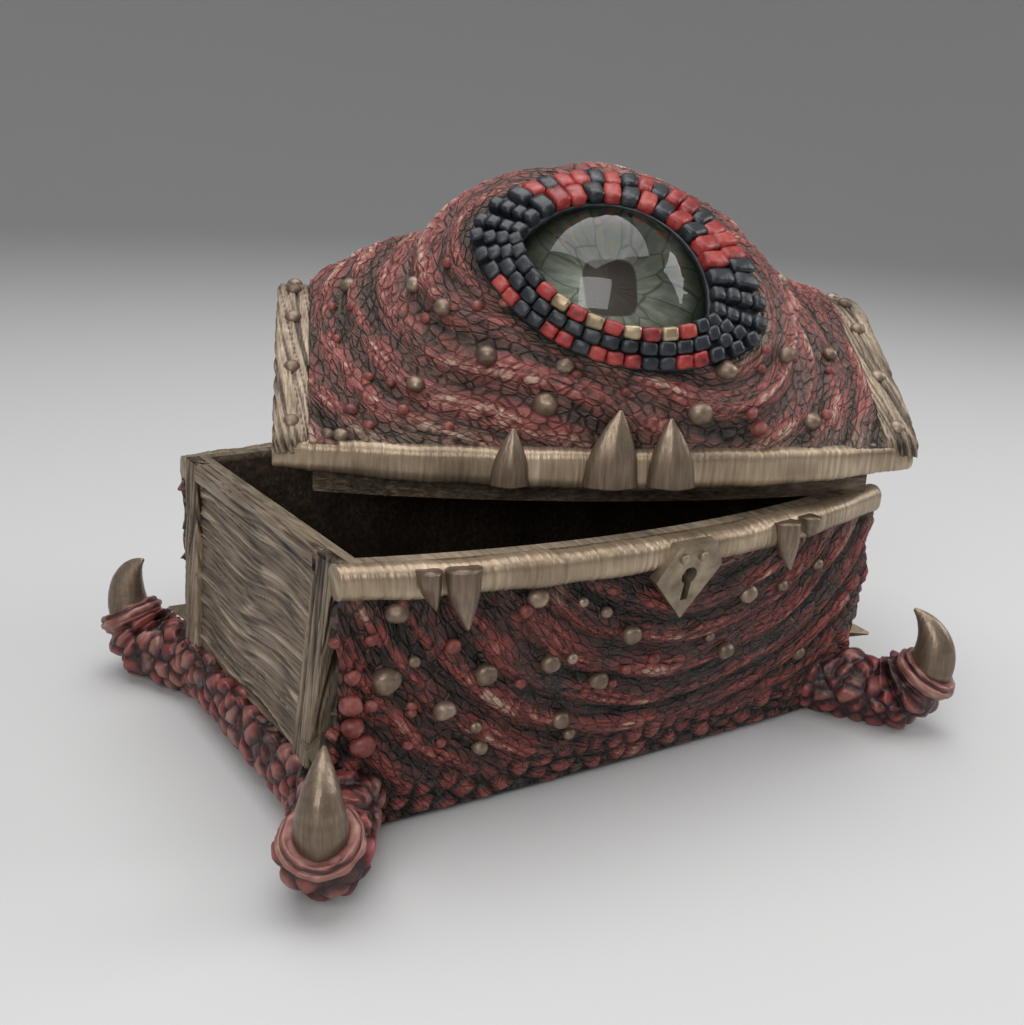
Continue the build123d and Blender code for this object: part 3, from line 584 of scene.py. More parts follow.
def boxHideForm(back):
    look = boxHide
    sign = 1 if back else -1
    seed = look["backSeed" if back else "seed"]

    def spot(u, w):
        z = mix(look["low"], look["high"], w)
        x = mix(-1, 1, u) * boxForm["rimHalf"]
        return Vector((x, sign * (bowDepth(boxTier(z, back), x) + throughStations(look["thickness"], z)[0]), z))

    def relief(u, w, at):
        x, z = at.x * -sign, at.z
        dx, dz = x - look["centre"][0], z - look["centre"][1]
        away = math.hypot(dx, dz)
        along = math.atan2(dx, -dz) * away
        sway = 0.8 * noise.noise(Vector((x * 0.06, z * 0.08, seed)))
        height, ridge, place = hideStrands(along, away + sway, seed, look)
        scaled = max(ease(*look["footScales"], z + 4 * noise.noise(Vector((x * 0.08, 0, seed)))),
                     ease(*look["endScales"], abs(x)) * ease(*look["endTop"], z))
        if scaled > 0:
            dome = pebbleDome(at + Vector((0, 0, seed)), look["pebble"])[0]
            height = mix(height, dome * look["pebbleRise"] - 0.5, scaled)
            ridge = mix(ridge, 0.06 + 0.72 * dome, scaled)
        height *= ease(0, 0.02, w) * mix(1.0, 0.25, ease(0.95, 1.0, w))
        return height, ridge, Vector((along, place, 0.6 * ease(*look["bare"], z)))

    return spot, relief


for back, hideName in ((False, "front"), (True, "back")):
    hideMesh = reliefSheet(boxHide["columns"], boxHide["rows"], *boxHideForm(back), boxHide["wall"], flip=back)
    putDown(hideName + "Hide", hideMesh, boxRed, "box", "scaled_hide", (hideName + "_hide",))
print("box hides done")

# rolled lips with fine strokes across them
boxLip = {"depth": 4.0, "swell": 1.0, "low": 49.5, "high": 55.5, "round": 2.3, "stroke": 0.16, "pitch": 0.72,
          "grid": (36, 420), "let": 1.2, "sag": 0.0, "rise": 0.0}


def lipTube(look, edge, sign, half, seed):
    outer = (edge[0] + look["depth"], edge[1] + look["swell"], edge[2])

    def ring(share, turn):
        x = mix(-half, half, share)
        inner, front = bowDepth(edge, x) - look["let"], bowDepth(outer, x)
        middle = 1 - (x / half) ** 2
        low, high = look["low"] - look["sag"] * middle, look["high"] + look["rise"] * middle
        a, b = roundedBox(turn, front - inner, high - low, look["round"])
        return Vector((x, sign * ((inner + front) / 2 + a), (low + high) / 2 + b))

    def relief(share, turn, at):
        x = at.x
        wander = noise.noise(Vector((x * 0.08, at.z * 0.25, seed)))
        stroke = noise.noise(Vector((x / look["pitch"], at.z * 0.13 + at.y * 0.05, seed)))
        lump = noise.noise(Vector((x * 0.12, at.y * 0.1, at.z * 0.1 + seed)))
        height = stroke * look["stroke"] + lump * 0.45
        return height, 0.58 + 0.2 * stroke + 0.25 * wander, Vector((at.z * 1.3, x, at.y * 0.4))

    return reliefTube(*look["grid"], ring, relief)


for back, lipName, seed in ((False, "front", 3.0), (True, "back", 9.0)):
    lipMesh = lipTube(boxLip, boxTier(boxForm["rim"], back), 1 if back else -1, boxForm["rimHalf"], seed)
    putDown(lipName + "Lip", lipMesh, bronzeLip, "box", "timber", (lipName + "_lip",))

# posts, rails and panels of the timber ends
timberEnds = {"postWidth": 7.5, "foot": 15.0, "footThick": 6.0, "rimThick": 3.0, "rail": 4.0, "recess": 1.5,
              "groove": 0.45, "round": 0.7, "let": 1.0, "lap": 0.1, "panelWall": 1.4,
              "postGrid": (90, 110), "railGrid": (48, 150), "panelGrid": (190, 130)}


def endThick(z):
    look = timberEnds
    return mix(look["footThick"], look["rimThick"], (z - look["foot"]) / (boxForm["rim"] - look["foot"]))


# place across a post or rail that is let into the carcass
def endMiddle(side, z, a):
    let = timberEnds["let"]
    return side * (boxForm["carcassHalf"] - let + (endThick(z) + let) / 2 + a)


def postInner(z):
    return boxTier(z, False)[0] - timberEnds["postWidth"]


def postTube(side, row, seed):
    look = timberEnds

    def ring(share, turn):
        z = mix(look["foot"], boxForm["rim"], share)
        a, b = roundedBox(turn, endThick(z) + look["let"], look["postWidth"], look["round"])
        return Vector((endMiddle(side, z, a), row * (postInner(z) + look["postWidth"] / 2 + b), z))

    def relief(share, turn, at):
        groove, fine = grainGroove(at.z, at.y + 0.8 * at.x, seed, 1.7)
        return -groove * look["groove"] - fine * 0.14, 0.62 - 0.5 * groove - 0.22 * fine, Vector((at.z, at.y, at.x))

    return reliefTube(*look["postGrid"], ring, relief)


def railTube(side, seed):
    look = timberEnds
    low = boxForm["rim"] - look["rail"]

    def ring(share, turn):
        a, b = roundedBox(turn, endThick(low) + look["let"], look["rail"], look["round"])
        y = mix(-1, 1, share) * (postInner(low) + look["lap"])
        return Vector((endMiddle(side, low, a), y, low + look["rail"] / 2 + b))

    def relief(share, turn, at):
        groove, fine = grainGroove(at.y, at.z + 0.8 * at.x, seed, 1.5)
        return -groove * 0.35 - fine * 0.12, 0.62 - 0.5 * groove - 0.22 * fine, Vector((at.y, at.z, at.x))

    return reliefTube(*look["railGrid"], ring, relief)


def panelSheet(side, seed):
    look = timberEnds
    top = boxForm["rim"] - look["rail"]

    def spot(u, w):
        z = mix(look["foot"], top, w)
        x = side * (boxForm["carcassHalf"] + endThick(z) - look["recess"])
        return Vector((x, mix(-1, 1, u) * (postInner(z) + look["lap"]), z))

    def relief(u, w, at):
        wave = 2.2 * noise.noise(Vector((at.y * 0.035, at.z * 0.05, seed + 2)))
        groove, fine = grainGroove(at.y, at.z + wave, seed, 2.1)
        return groove * 0.4 - fine * 0.22, 0.46 + 0.42 * groove - 0.26 * fine, Vector((at.y, at.z + wave, at.x))

    return reliefSheet(*look["panelGrid"], spot, relief, look["panelWall"], flip=side < 0)


# pebbled band under each end
endBand = {"foot": 3.5, "swell": 8.0, "top": 6.5, "half": 33.0, "let": 0.5, "flatTo": 1.5,
           "pebble": 4.4, "rise": 1.25, "grid": (110, 230)}


def bandTube(side, seed):
    look = endBand
    x0, z0, z1 = boxForm["carcassHalf"], boxForm["felt"], timberEnds["foot"]
    arc = arcSpots((x0 + look["foot"], z0), (x0 + look["swell"], (z0 + z1) / 2), (x0 + look["top"], z1), 24)
    inside = x0 - look["let"]
    outline = PathLine([(inside, z0)] + arc + [(inside, z1), (inside, z0)])

    def ring(share, turn):
        x, z = outline.at(turn)
        return Vector((side * x, mix(-1, 1, share) * look["half"], z))

    def relief(share, turn, at):
        if abs(at.x) < x0 + look["flatTo"]:
            return 0.0, 0.1, Vector((0, 0, 0))
        dome, tint = pebbleDome(at + Vector((seed, 0, 0)), look["pebble"])
        return dome * look["rise"] - 0.5, 0.04 + 0.7 * dome, Vector((tint, 0, 0))

    return reliefTube(*look["grid"], ring, relief)


sideNames, rowNames = ((-1, "left"), (1, "right")), ((-1, "front"), (1, "back"))
for side, sideName in sideNames:
    for row, rowName in rowNames:
        putDown("post" + rowName.title() + sideName.title(), postTube(side, row, 20 + side * 3 + row), bronzeTimber,
                "box", "timber", ("post_" + rowName + "_" + sideName,))
    for pieceName, bm, finish, slotName in (("rail", railTube(side, 31 + side), bronzeTimber, "timber"),
                                            ("panel", panelSheet(side, 47 + side), bronzeTimber, "timber"),
                                            ("band", bandTube(side, 5 + side), pebbledHide, "scaled_hide")):
        putDown(pieceName + sideName.title(), bm, finish, "box", slotName, ("end_" + pieceName + "_" + sideName,))
print("timber ends done")

# Feet: scaled toes with collars and a rolled sheath, and smooth horn claws
footForm = {
    "yaw": 60.0, "heel": (59.5, 30.5),
    # share along, reach from the heel, level, tilt, radius
    "toe": ((0.0, 0.0, 8.5, 0.0, 9.0), (0.4, 12.9, 7.3, 0.0, 7.9), (0.7, 22.2, 7.9, 26.0, 7.4),
            (1.0, 28.6, 13.1, 60.0, 6.9)),
    "pebble": 4.4, "rise": 1.2, "collars": (0.62, 0.75), "collarRise": 0.9, "sheathFrom": 0.86,
    "creases": (0.935, 1.0), "clawRoot": 2.2,
    # rolled layers of the sheath: ahead and outward from the toe's end
    "sheath": ((0.0, 0.0), (0.5, 0.55), (1.1, 0.6), (1.55, 0.2), (1.5, -0.4), (1.95, -0.15), (2.5, -0.3),
               (2.85, -0.75), (2.75, -1.3), (2.5, -2.6)),
    "toeGrid": (120, 160), "clawGrid": (40, 60),
    "clawStart": 60.0, "clawTurn": 90.0, "clawBend": 11.3, "clawRadius": 5.0,
    "claw": ((0.0, 1.0), (0.25, 0.93), (0.5, 0.76), (0.75, 0.46), (1.0, 0.07)),
}


def footRing(side, row, reach, level, tilt, radius, turn):
    yaw = math.radians(footForm["yaw"])
    ahead = Vector((side * math.cos(yaw), row * math.sin(yaw), 0))
    across = Vector((-ahead.y, ahead.x, 0))
    upward = Vector((0, 0, math.cos(math.radians(tilt)))) - ahead * math.sin(math.radians(tilt))
    centre = Vector((side * footForm["heel"][0], row * footForm["heel"][1], level)) + ahead * reach
    angle = 2 * math.pi * turn
    return centre + across * radius * math.cos(angle) + upward * radius * math.sin(angle)


sheathLine = PathLine(footForm["sheath"])


def toeTube(side, row, seed):
    look = footForm

    def ring(share, turn):
        # the last rings roll over in layers and in towards the claw
        reach, level, tilt, radius = throughStations(look["toe"], min(1.0, share / look["sheathFrom"]))
        if share > look["sheathFrom"]:
            facing = math.radians(tilt)
            ahead, outward = sheathLine.at((share - look["sheathFrom"]) / (1 - look["sheathFrom"]))
            reach += ahead * math.cos(facing)
            level += ahead * math.sin(facing)
            radius += outward
        return footRing(side, row, reach, level, tilt, radius, turn)

    def bump(share, places, width):
        return max(math.exp(-((share - place) / width) ** 2) for place in places)

    def relief(share, turn, at):
        dome, tint = pebbleDome(at + Vector((seed, seed, 0)), look["pebble"])
        fade = ease(look["sheathFrom"], look["sheathFrom"] - 0.09, share)
        collar, gap = bump(share, look["collars"], 0.03), bump(share - 0.065, look["collars"], 0.018)
        crease = bump(share, look["creases"], 0.012)
        lump = noise.noise(at * 0.35 + Vector((seed, 0, 0)))
        height = (dome * look["rise"] - 0.5) * fade + collar * look["collarRise"] - gap * 0.9
        height += 0.5 * lump * (1 - fade) * ease(1.0, 0.97, share)
        tone = (0.04 + 0.7 * dome) * fade + (0.7 + 0.3 * lump - 0.5 * crease) * (1 - fade) - 0.25 * gap
        return height, tone, Vector((mix(0.62, tint, fade), 0, 0))

    bm = reliefTube(*look["toeGrid"], ring, relief)
    for v in bm.verts:
        v.co.z = max(0.0, v.co.z)
    return bm


def clawTube(side, row):
    look = footForm
    seat = look["toe"][-1]
    first = math.radians(look["clawStart"])

    def ring(share, turn):
        tilt = first + math.radians(look["clawTurn"]) * share
        bend = look["clawBend"]
        reach = seat[1] + bend * (math.sin(tilt) - math.sin(first))
        level = seat[2] + bend * (math.cos(first) - math.cos(tilt))
        back = look["clawRoot"] * max(0.0, 1 - share / 0.08)  # root inside the toe
        reach, level = reach - back * math.cos(tilt), level - back * math.sin(tilt)
        ridged = 0.97 + 0.09 * abs(math.sin(2 * math.pi * turn)) ** 8
        radius = look["clawRadius"] * throughStations(look["claw"], share)[0] * ridged
        return footRing(side, row, reach, level, math.degrees(tilt), radius, turn)

    def relief(share, turn, at):
        band = noise.noise(Vector((share * 16, 0, side + 3 * row)))
        return 0.06 * band, 0.3 + 0.45 * share + 0.1 * band, Vector((share * 18, at.x, at.y))

    return reliefTube(*look["clawGrid"], ring, relief)


for side, sideName in sideNames:
    for row, rowName in rowNames:
        corner, node = rowName.title() + sideName.title(), "_" + rowName + "_" + sideName
        putDown("toe" + corner, toeTube(side, row, 13 + 5 * side + row), pebbledHide, "box", "scaled_hide",
                ("toe" + node,))
        putDown("claw" + corner, clawTube(side, row), bronzeHorn, "box", "horn", ("claw" + node,))
print("feet done")

# Lid: the CAD lid's sections, from the front skirt over the crown to the back skirt
lidForm = {
    "half": 67.4, "depth": 38.5, "bow": 12.0, "backBow": 3.0, "endCrown": 28.0, "moundCrown": 53.0,
    "endReach": 12.0, "moundReach": 17.0, "endDrop": 4.5, "moundDrop": 3.0, "shift": 4.0, "endBulge": 0.02,
    "moundBulge": 0.1, "lip": 6.0, "shellHalf": 62.4, "strapInner": 59.9,
    "crown": ((-1.0, 0.0), (-0.77, 0.32), (-0.545, 0.52), (-0.29, 0.8), (0.03, 1.0), (0.32, 0.9), (0.545, 0.58),
              (0.77, 0.22), (1.0, 0.0)),
}
skirtFront = (lidForm["depth"], lidForm["bow"], lidForm["half"])
skirtBack = (lidForm["depth"], lidForm["backBow"], lidForm["half"])


def lidProfile(x, grow):
    look = lidForm
    rise = throughStations(look["crown"], max(-1.0, min(1.0, x / look["shellHalf"])))[0]
    crown = mix(look["endCrown"], look["moundCrown"], rise) + grow
    reach = mix(look["endReach"], look["moundReach"], rise)
    shoulder = crown - mix(look["endDrop"], look["moundDrop"], rise)
    bulge = mix(look["endBulge"], look["moundBulge"], rise)
    ridge = -look["shift"] * rise
    front, back = (-bowDepth(skirtFront, x) - grow, look["lip"]), (bowDepth(skirtBack, x) + grow, look["lip"])
    left, right = (ridge - reach, shoulder), (ridge + reach, shoulder)

    def swollen(a, b):
        return (a[0] + b[0]) / 2 - (b[1] - a[1]) * bulge, (a[1] + b[1]) / 2 + (b[0] - a[0]) * bulge

    spots = (arcSpots(front, swollen(front, left), left, 30) + arcSpots(left, (ridge, crown), right, 20)[1:]
             + arcSpots(right, swollen(right, back), back, 30)[1:])
    return PathLine(spots)


# Eye: a plane on the front of the mound
eyeForm = {
    "origin": (0.0, -38.0, 38.3), "tilt": 42.0, "glassRadius": 20.0, "glassHeight": 12.8, "glassBase": 3.0,
    "sink": 2.5, "glassBevel": 0.3, "glassSteps": 40, "irisThick": 0.8, "irisInset": 0.4, "irisLet": 0.35,
    "lids": ((-28.2, 10.0), (4.0, 24.75), (28.4, -13.9), (4.0, -21.4)),  # left corner, top, right corner, bottom
    "slit": ((-18.5, 6.2), (2.0, 13.0), (16.8, -11.0), (2.0, -14.8)),
    "bedEdge": 1.0, "bedRise": 6.6, "cornerRise": 3.6, "bedFoot": -2.5, "bedOut": 1.02, "bedIn": 0.9, "bedWall": 2.0,
    "bedGrid": (40, 150),
}
eyeTilt = math.radians(eyeForm["tilt"])
eyeTurn = Matrix(((1, 0, 0), (0, math.sin(eyeTilt), -math.cos(eyeTilt)), (0, math.cos(eyeTilt), math.sin(eyeTilt))))
eyePlane = Matrix.Translation(eyeForm["origin"]) @ eyeTurn.to_4x4()
eyePlaneBack = eyePlane.inverted()
eyePlace = lidPlace @ eyePlane


def almondLine(corners, upper):
    left, top, right, bottom = corners
    return PathLine(arcSpots(left, top if upper else bottom, right, 48))


lidsUpper, lidsLower = almondLine(eyeForm["lids"], True), almondLine(eyeForm["lids"], False)
slitUpper, slitLower = almondLine(eyeForm["slit"], True), almondLine(eyeForm["slit"], False)
almondMiddle = Vector((1.5, 1.5))
almondRim = sorted((math.atan2(p.y - almondMiddle.y, p.x - almondMiddle.x), (p - almondMiddle).length)
                   for p in lidsUpper.spots + lidsLower.spots[1:-1])


# 1 on the outline of the eyelids, less inside
def almondShare(u, v):
    dx, dy = u - almondMiddle.x, v - almondMiddle.y
    angle = math.atan2(dy, dx)
    low = almondRim[-1]
    for high in almondRim:
        if high[0] >= angle:
            break
        low = high
    else:
        high = almondRim[0]
    span = (high[0] - low[0]) % (2 * math.pi) or 1.0
    radius = mix(low[1], high[1], ((angle - low[0]) % (2 * math.pi)) / span)
    return math.hypot(dx, dy) / radius


lidHide = {
    "columns": 280, "rows": 160, "backColumns": 200, "backRows": 90, "split": 0.55, "lap": 0.01, "wall": 1.8,
    "spacing": 6.8, "fold": 2.1, "strand": 1.8, "along": 0.07, "rope": 0.5, "bead": 2.5, "slant": 0.8, "cut": 0.42,
    # valley is the lowest tone, and shade the share of the fold tone left in the fold valleys: painted shade
    "valley": 0.16, "shade": 0.24, "seed": 71.0,
    "line": ((-17.0, 8.0), (18.0, -7.0)),  # what the folds ring, in the eye's plane
    # where the hide swells to the lids
    "oval": (31.5, 24.0), "ovalMiddle": (1.0, 1.5), "ovalTilt": -22.0, "ovalReach": 0.5,
    "ovalLevel": 0.2, "behind": -24.0, "skirtFade": 5.0, "thick": 3.0, "strapLap": 0.3,
    # bare bronze by the lip and round the lids, calmer folds by the lids, and the hole under them
    "bareFoot": (13, 8), "bareRim": (1.12, 1.02), "calm": (1.25, 1.0), "hole": 0.86, "holeReach": 14,
}
lidProfiles = {}


def eyeSwell(u, v):
    look = lidHide
    turn = math.radians(look["ovalTilt"])
    du, dv = u - look["ovalMiddle"][0], v - look["ovalMiddle"][1]
    away = math.hypot((du * math.cos(turn) + dv * math.sin(turn)) / look["oval"][0],
                      (dv * math.cos(turn) - du * math.sin(turn)) / look["oval"][1])
    return ease(1 + look["ovalReach"], 1.0, away)


# distance from the line that the folds ring, and the length along the fold
def foldPlace(u, v):
    start, end = (Vector(k) for k in lidHide["line"])
    run = (end - start).normalized()
    offset = Vector((u, v)) - start
    past = offset.dot(run)
    share = min((end - start).length, max(0.0, past))
    away = (offset - run * share).length
    side = run.x * offset.y - run.y * offset.x
    return away, share + math.atan2(past - share, abs(side) + 1e-6) * away


def lidSpot(u, w):
    look = lidHide
    x = mix(-1, 1, u) * (lidForm["strapInner"] + look["strapLap"])
    if u not in lidProfiles:
        lidProfiles[u] = lidProfile(x, look["thick"])
    line = lidProfiles[u]
    local = eyePlaneBack @ Vector((x, *line.at(w)))
    if local.z > look["behind"]:
        fade = min(1.0, max(0.0, min(w, 1 - w) * line.length / look["skirtFade"]))
        local.z = mix(local.z, look["ovalLevel"], eyeSwell(local.x, local.y) * fade)
    return eyePlane @ local


def lidRelief(u, w, at):
    look = lidHide
    seed = look["seed"]
    local = eyePlaneBack @ at
    away, along = foldPlace(local.x, local.y)
    away += 0.7 * max(0.0, look["behind"] - local.z)  # the back of the lid is seen edge on from the eye
    sway = 0.8 * noise.noise(Vector((at.x * 0.06, at.y * 0.06, at.z * 0.06 + seed)))
    height, ridge, place = hideStrands(along, away + sway, seed, look)
    rim = almondShare(local.x, local.y) if local.z > look["behind"] else 9.0
    edge = ease(0, 0.02, w) * ease(1, 0.98, w) * mix(0.35, 1, ease(0, 0.02, u) * ease(1, 0.98, u))
    bare = max(0.7 * ease(*look["bareFoot"], at.z), 0.85 * ease(*look["bareRim"], rim))
    return height * edge * mix(1, 0.4, ease(*look["calm"], rim)), ridge, Vector((along, place, bare))


def underLids(at):
    local = eyePlaneBack @ at
    return abs(local.z) < lidHide["holeReach"] and almondShare(local.x, local.y) < lidHide["hole"]


def lidHidePart(columns, rows, start, end):
    return reliefSheet(columns, rows, lambda u, w: lidSpot(u, mix(start, end, w)),
                       lambda u, w, at: lidRelief(u, mix(start, end, w), at), lidHide["wall"], underLids)


for pieceName, *part in (("lidHide", lidHide["columns"], lidHide["rows"], 0.0, lidHide["split"] + lidHide["lap"]),
                         ("lidHideBack", lidHide["backColumns"], lidHide["backRows"], lidHide["split"], 1.0)):
    putDown(pieceName, lidHidePart(*part), lidRed, "lid", "hide", ("lid_hide",))
print("lid hide done")

# warts: share across, share up, radius; what is out of sight is strewn
wartForm = {"sunk": 0.2, "shape": (1.0, 0.9, 0.8), "uneven": 0.16, "grain": 0.55}
lidWarts = {
    "bronze": (
        (0.067, 0.38, 2), (0.174, 0.301, 2), (0.22, 0.222, 2), (0.285, 0.132, 2.3), (0.174, 0.112, 1.9),
        (0.405, 0.104, 1.9), (0.376, 0.061, 2.7), (0.05, 0.024, 1.7), (0.03, 0.022, 1.4), (0.669, 0.093, 2.2),
        (0.624, 0.041, 2.6), (0.855, 0.061, 2.2), (0.929, 0.234, 1.7), (0.785, 0.136, 2), (0.859, 0.395, 1.9),
    ),
    "red": (
        (0.038, 0.344, 1.1), (0.075, 0.309, 1.2), (0.187, 0.23, 1.3), (0.224, 0.293, 1.2), (0.269, 0.203, 1.3),
        (0.096, 0.14, 1.3), (0.067, 0.073, 1.5), (0.153, 0.069, 1.2), (0.133, 0.124, 1.1), (0.046, 0.242, 1.2),
        (0.314, 0.203, 1.2), (0.224, 0.038, 1.2), (0.096, 0.041, 1.2), (0.719, 0.049, 1.4), (0.743, 0.132, 1),
        (0.888, 0.077, 1.4), (0.743, 0.034, 2), (0.768, 0.026, 0.9), (0.921, 0.191, 1), (0.5, 0.065, 1.1),
        (0.422, 0.089, 1.1), (0.739, 0.104, 1.1), (0.805, 0.14, 0.9),
    ),
    "strewn": 16, "low": 0.62, "high": 0.97, "seed": 3,
}
boxWarts = {
    "bronze": (
        (0.077, 0.935, 2.2), (0.066, 0.673, 2.8), (0.211, 0.634, 2.5), (0.317, 0.634, 2.1), (0.412, 0.5, 2.2),
        (0.443, 0.721, 2.1), (0.656, 0.519, 2.1), (0.683, 0.769, 2.2), (0.279, 0.935, 2.2), (0.23, 0.279, 1.8),
        (0.153, 0.519, 2.2), (0.207, 0.414, 1.3), (0.355, 0.884, 1.2), (0.397, 0.826, 1.3),
        (0.348, 0.654, 1.2), (0.858, 0.366, 1.8), (0.85, 0.817, 1.4), (0.755, 0.778, 1.4), (0.618, 0.596, 1.2),
        (0.104, 0.73, 1.3), (0.355, 0.356, 2), (0.386, 0.25, 1.5),
    ),
    "red": (
        (0.157, 0.778, 1.6), (0.047, 0.577, 1.3), (0.108, 0.538, 1.1), (0.108, 0.51, 1), (0.108, 0.375, 1.2),
        (0.161, 0.346, 1.1), (0.043, 0.836, 1.1), (0.02, 0.7, 1.6), (0.018, 0.596, 2.2), (0.26, 0.894, 1.3),
        (0.451, 0.548, 1.1), (0.508, 0.558, 1.3), (0.439, 0.471, 1.1), (0.272, 0.567, 1.2), (0.022, 0.5, 2.2),
        (0.039, 0.414, 2.5),
    ),
    "strewn": 24, "low": 0.25, "high": 0.92, "seed": 4,
}


# a place whose Z is the way out
def facing(spot, out):
    return Matrix.Translation(spot) @ out.to_track_quat("Z", "Y").to_matrix().to_4x4()


def wartLumps(seats):
    look = wartForm
    bm = bmesh.new()
    for spot, out, radius in seats:
        seat = facing(spot + out * radius * look["sunk"], out)
        made = bmesh.ops.create_uvsphere(bm, u_segments=16, v_segments=10, radius=1.0, matrix=seat @ Matrix.Diagonal(
            (*(radius * k for k in look["shape"]), 1)))
        for v in made["verts"]:
            v.co += (v.co - spot) * look["uneven"] * noise.noise(v.co * look["grain"])
    return bm


def strewnWarts(look, kind):
    dice = random.Random(look["seed"] + len(kind))
    return [(dice.uniform(0.05, 0.95), dice.uniform(look["low"], look["high"]), dice.uniform(1.0, 2.2))
            for k in range(look["strewn"])]


frontForm, backForm = boxHideForm(False), boxHideForm(True)
for kind, finish in (("bronze", wartBronze), ("red", wartRed)):
    onLid = [(*seatOn(lidSpot, lidRelief, u, w), radius)
             for u, w, radius in list(lidWarts[kind]) + strewnWarts(lidWarts, kind)]
    onBox = [(*seatOn(*frontForm, u, w), radius) for u, w, radius in boxWarts[kind]]
    onBox += [(*seatOn(*backForm, u, w, True), radius) for u, w, radius in strewnWarts(boxWarts, kind)]
    for body, seats, hideSlot in (("lid", onLid, "hide"), ("box", onBox, "scaled_hide")):
        putDown(body + "Warts" + kind.title(), wartLumps(seats), finish, body,
                "bronze" if kind == "bronze" else hideSlot)
print("warts done")

lidLip = {"depth": 3.0, "swell": 2.0, "low": 0.0, "high": 6.0, "round": 2.2, "stroke": 0.16, "pitch": 0.72,
          "grid": (36, 420), "let": 1.2, "sag": 0.8, "rise": 1.4}
for lipName, skirt, sign, seed in (("front", skirtFront, -1, 53.0), ("back", skirtBack, 1, 59.0)):
    lipMesh = lipTube(lidLip, skirt, sign, lidForm["half"], seed)
    putDown("lid" + lipName.title() + "Lip", lipMesh, bronzeLip, "lid", "timber", ("lid_" + lipName + "_lip",))

# straps over the ends of the lid, with domed rivets
strapForm = {"width": 7.5, "thick": 3.4, "foot": 3.4, "round": 0.8, "groove": 0.42, "grid": (72, 260),
             "middle": 1.5, "top": 3.2, "rivetRadius": 1.75, "rivetRise": 1.3, "rivets": (0.05, 0.2, 0.36, 0.46)}


# spot on a line over the lid, and the way the line runs there
def strapPlace(line, share):
    return line.at(share), (line.at(share + nearBy) - line.at(share - nearBy)).normalized()


def strapTube(side, seed):
    look = strapForm
    line = lidProfile(side * lidForm["shellHalf"], look["middle"])
    line = PathLine([(line.spots[0].x, look["foot"])] + line.spots + [(line.spots[-1].x, look["foot"])])
    x = side * (lidForm["half"] - look["width"] / 2)

    def ring(share, turn):
        spot, run = strapPlace(line, share)
        a, b = roundedBox(turn, look["width"], look["thick"], look["round"])
        return Vector((x + a, spot.x - run.y * b, spot.y + run.x * b))

    def relief(share, turn, at):
        along = share * line.length
        groove, fine = grainGroove(along, at.x + 0.3 * at.z, seed, 1.5)
        worn = 0.18 * noise.noise(Vector((at.x * 0.2, along * 0.15, seed)))
        return (-groove * look["groove"] - fine * 0.14 + worn, 0.64 - 0.5 * groove - 0.2 * fine + 0.2 * worn,
                Vector((along, at.x, at.z * 0.2)))

    return reliefTube(*look["grid"], ring, relief)


def strapRivets(side):
    look = strapForm
    line = lidProfile(side * lidForm["shellHalf"], look["top"])
    x = side * (lidForm["half"] - look["width"] / 2)
    bm = bmesh.new()
    for share in look["rivets"]:
        for at in (share, 1 - share):
            spot, run = strapPlace(line, at)
            seat = facing((x, spot.x, spot.y), Vector((0, -run.y, run.x)))
            bmesh.ops.create_uvsphere(bm, u_segments=20, v_segments=12, radius=1.0, matrix=seat @ Matrix.Diagonal(
                (look["rivetRadius"], look["rivetRadius"], look["rivetRise"], 1)))
    return bm


for side, sideName in sideNames:
    putDown("strap" + sideName.title(), strapTube(side, 83 + side), bronzeTimber, "lid", "timber",
            ("lid_strap_" + sideName,))
    putDown("strapRivets" + sideName.title(), strapRivets(side), wartBronze, "lid", "bronze",
            ("strap_rivets_" + sideName,))
print("lid timber done")

# Teeth: x, width, height, lean; up is 1 on the lid and -1 on the box
teethForm = {
    "depth": 5.0, "stand": 0.6, "sizes": ((0.0, 1.0), (0.4, 0.84), (0.75, 0.46), (1.0, 0.06)), "keel": 0.16,
    "grid": (48, 48), "upperRoot": 0.4, "lowerRoot": 55.1,
    "upper": {"left": (-21.8, 7.8, 11.2, 0.4), "middle": (-2.2, 11.2, 15.3, 1.2), "right": (10.0, 10.0, 13.7, -0.8)},
    "lower": {"left_small": (-51.0, 4.6, 7.5, 1.6), "left_large": (-45.0, 7.0, 11.5, 1.3),
              "right_large": (27.6, 6.0, 10.5, 2.2), "right_small": (34.6, 4.6, 4.5, 0.6)},
}


def toothTube(edge, level, up, x, width, height, lean):
    look = teethForm

    def ring(share, turn):
        size = throughStations(look["sizes"], share)[0]
        angle = 2 * math.pi * turn
        keel = 1 + look["keel"] * math.exp(-((math.sin(angle) + 1) / 0.05) ** 2 * 0.5)
        depth = look["depth"] / 2 * mix(1.0, 1.1, ease(0.0, 0.4, share))
        y = -bowDepth(edge, x) - look["stand"] + depth * size * keel * math.sin(angle)
        return Vector((x + lean * share**2 + width / 2 * size * math.cos(angle), y, level + up * height * share))

    def relief(share, turn, at):
        return 0.0, 0.35 + 0.4 * share, Vector((share * height, at.x, at.y))

    return reliefTube(*look["grid"], ring, relief)


boxLipEdge = tuple(a + b for a, b in zip(boxTier(boxForm["rim"], False), (boxLip["depth"], boxLip["swell"], 0)))
lidLipEdge = (skirtFront[0] + lidLip["depth"], skirtFront[1] + lidLip["swell"], skirtFront[2])
for jaw, body, *root in (("upper", "lid", lidLipEdge, teethForm["upperRoot"], 1),
                         ("lower", "box", boxLipEdge, teethForm["lowerRoot"], -1)):
    for toothName, tooth in teethForm[jaw].items():
        putDown(jaw + "Tooth" + toothName.title().replace("_", ""), toothTube(*root, *tooth), bronzeHorn, body,
                "horn", (jaw + "_tooth_" + toothName,))
print("teeth done")


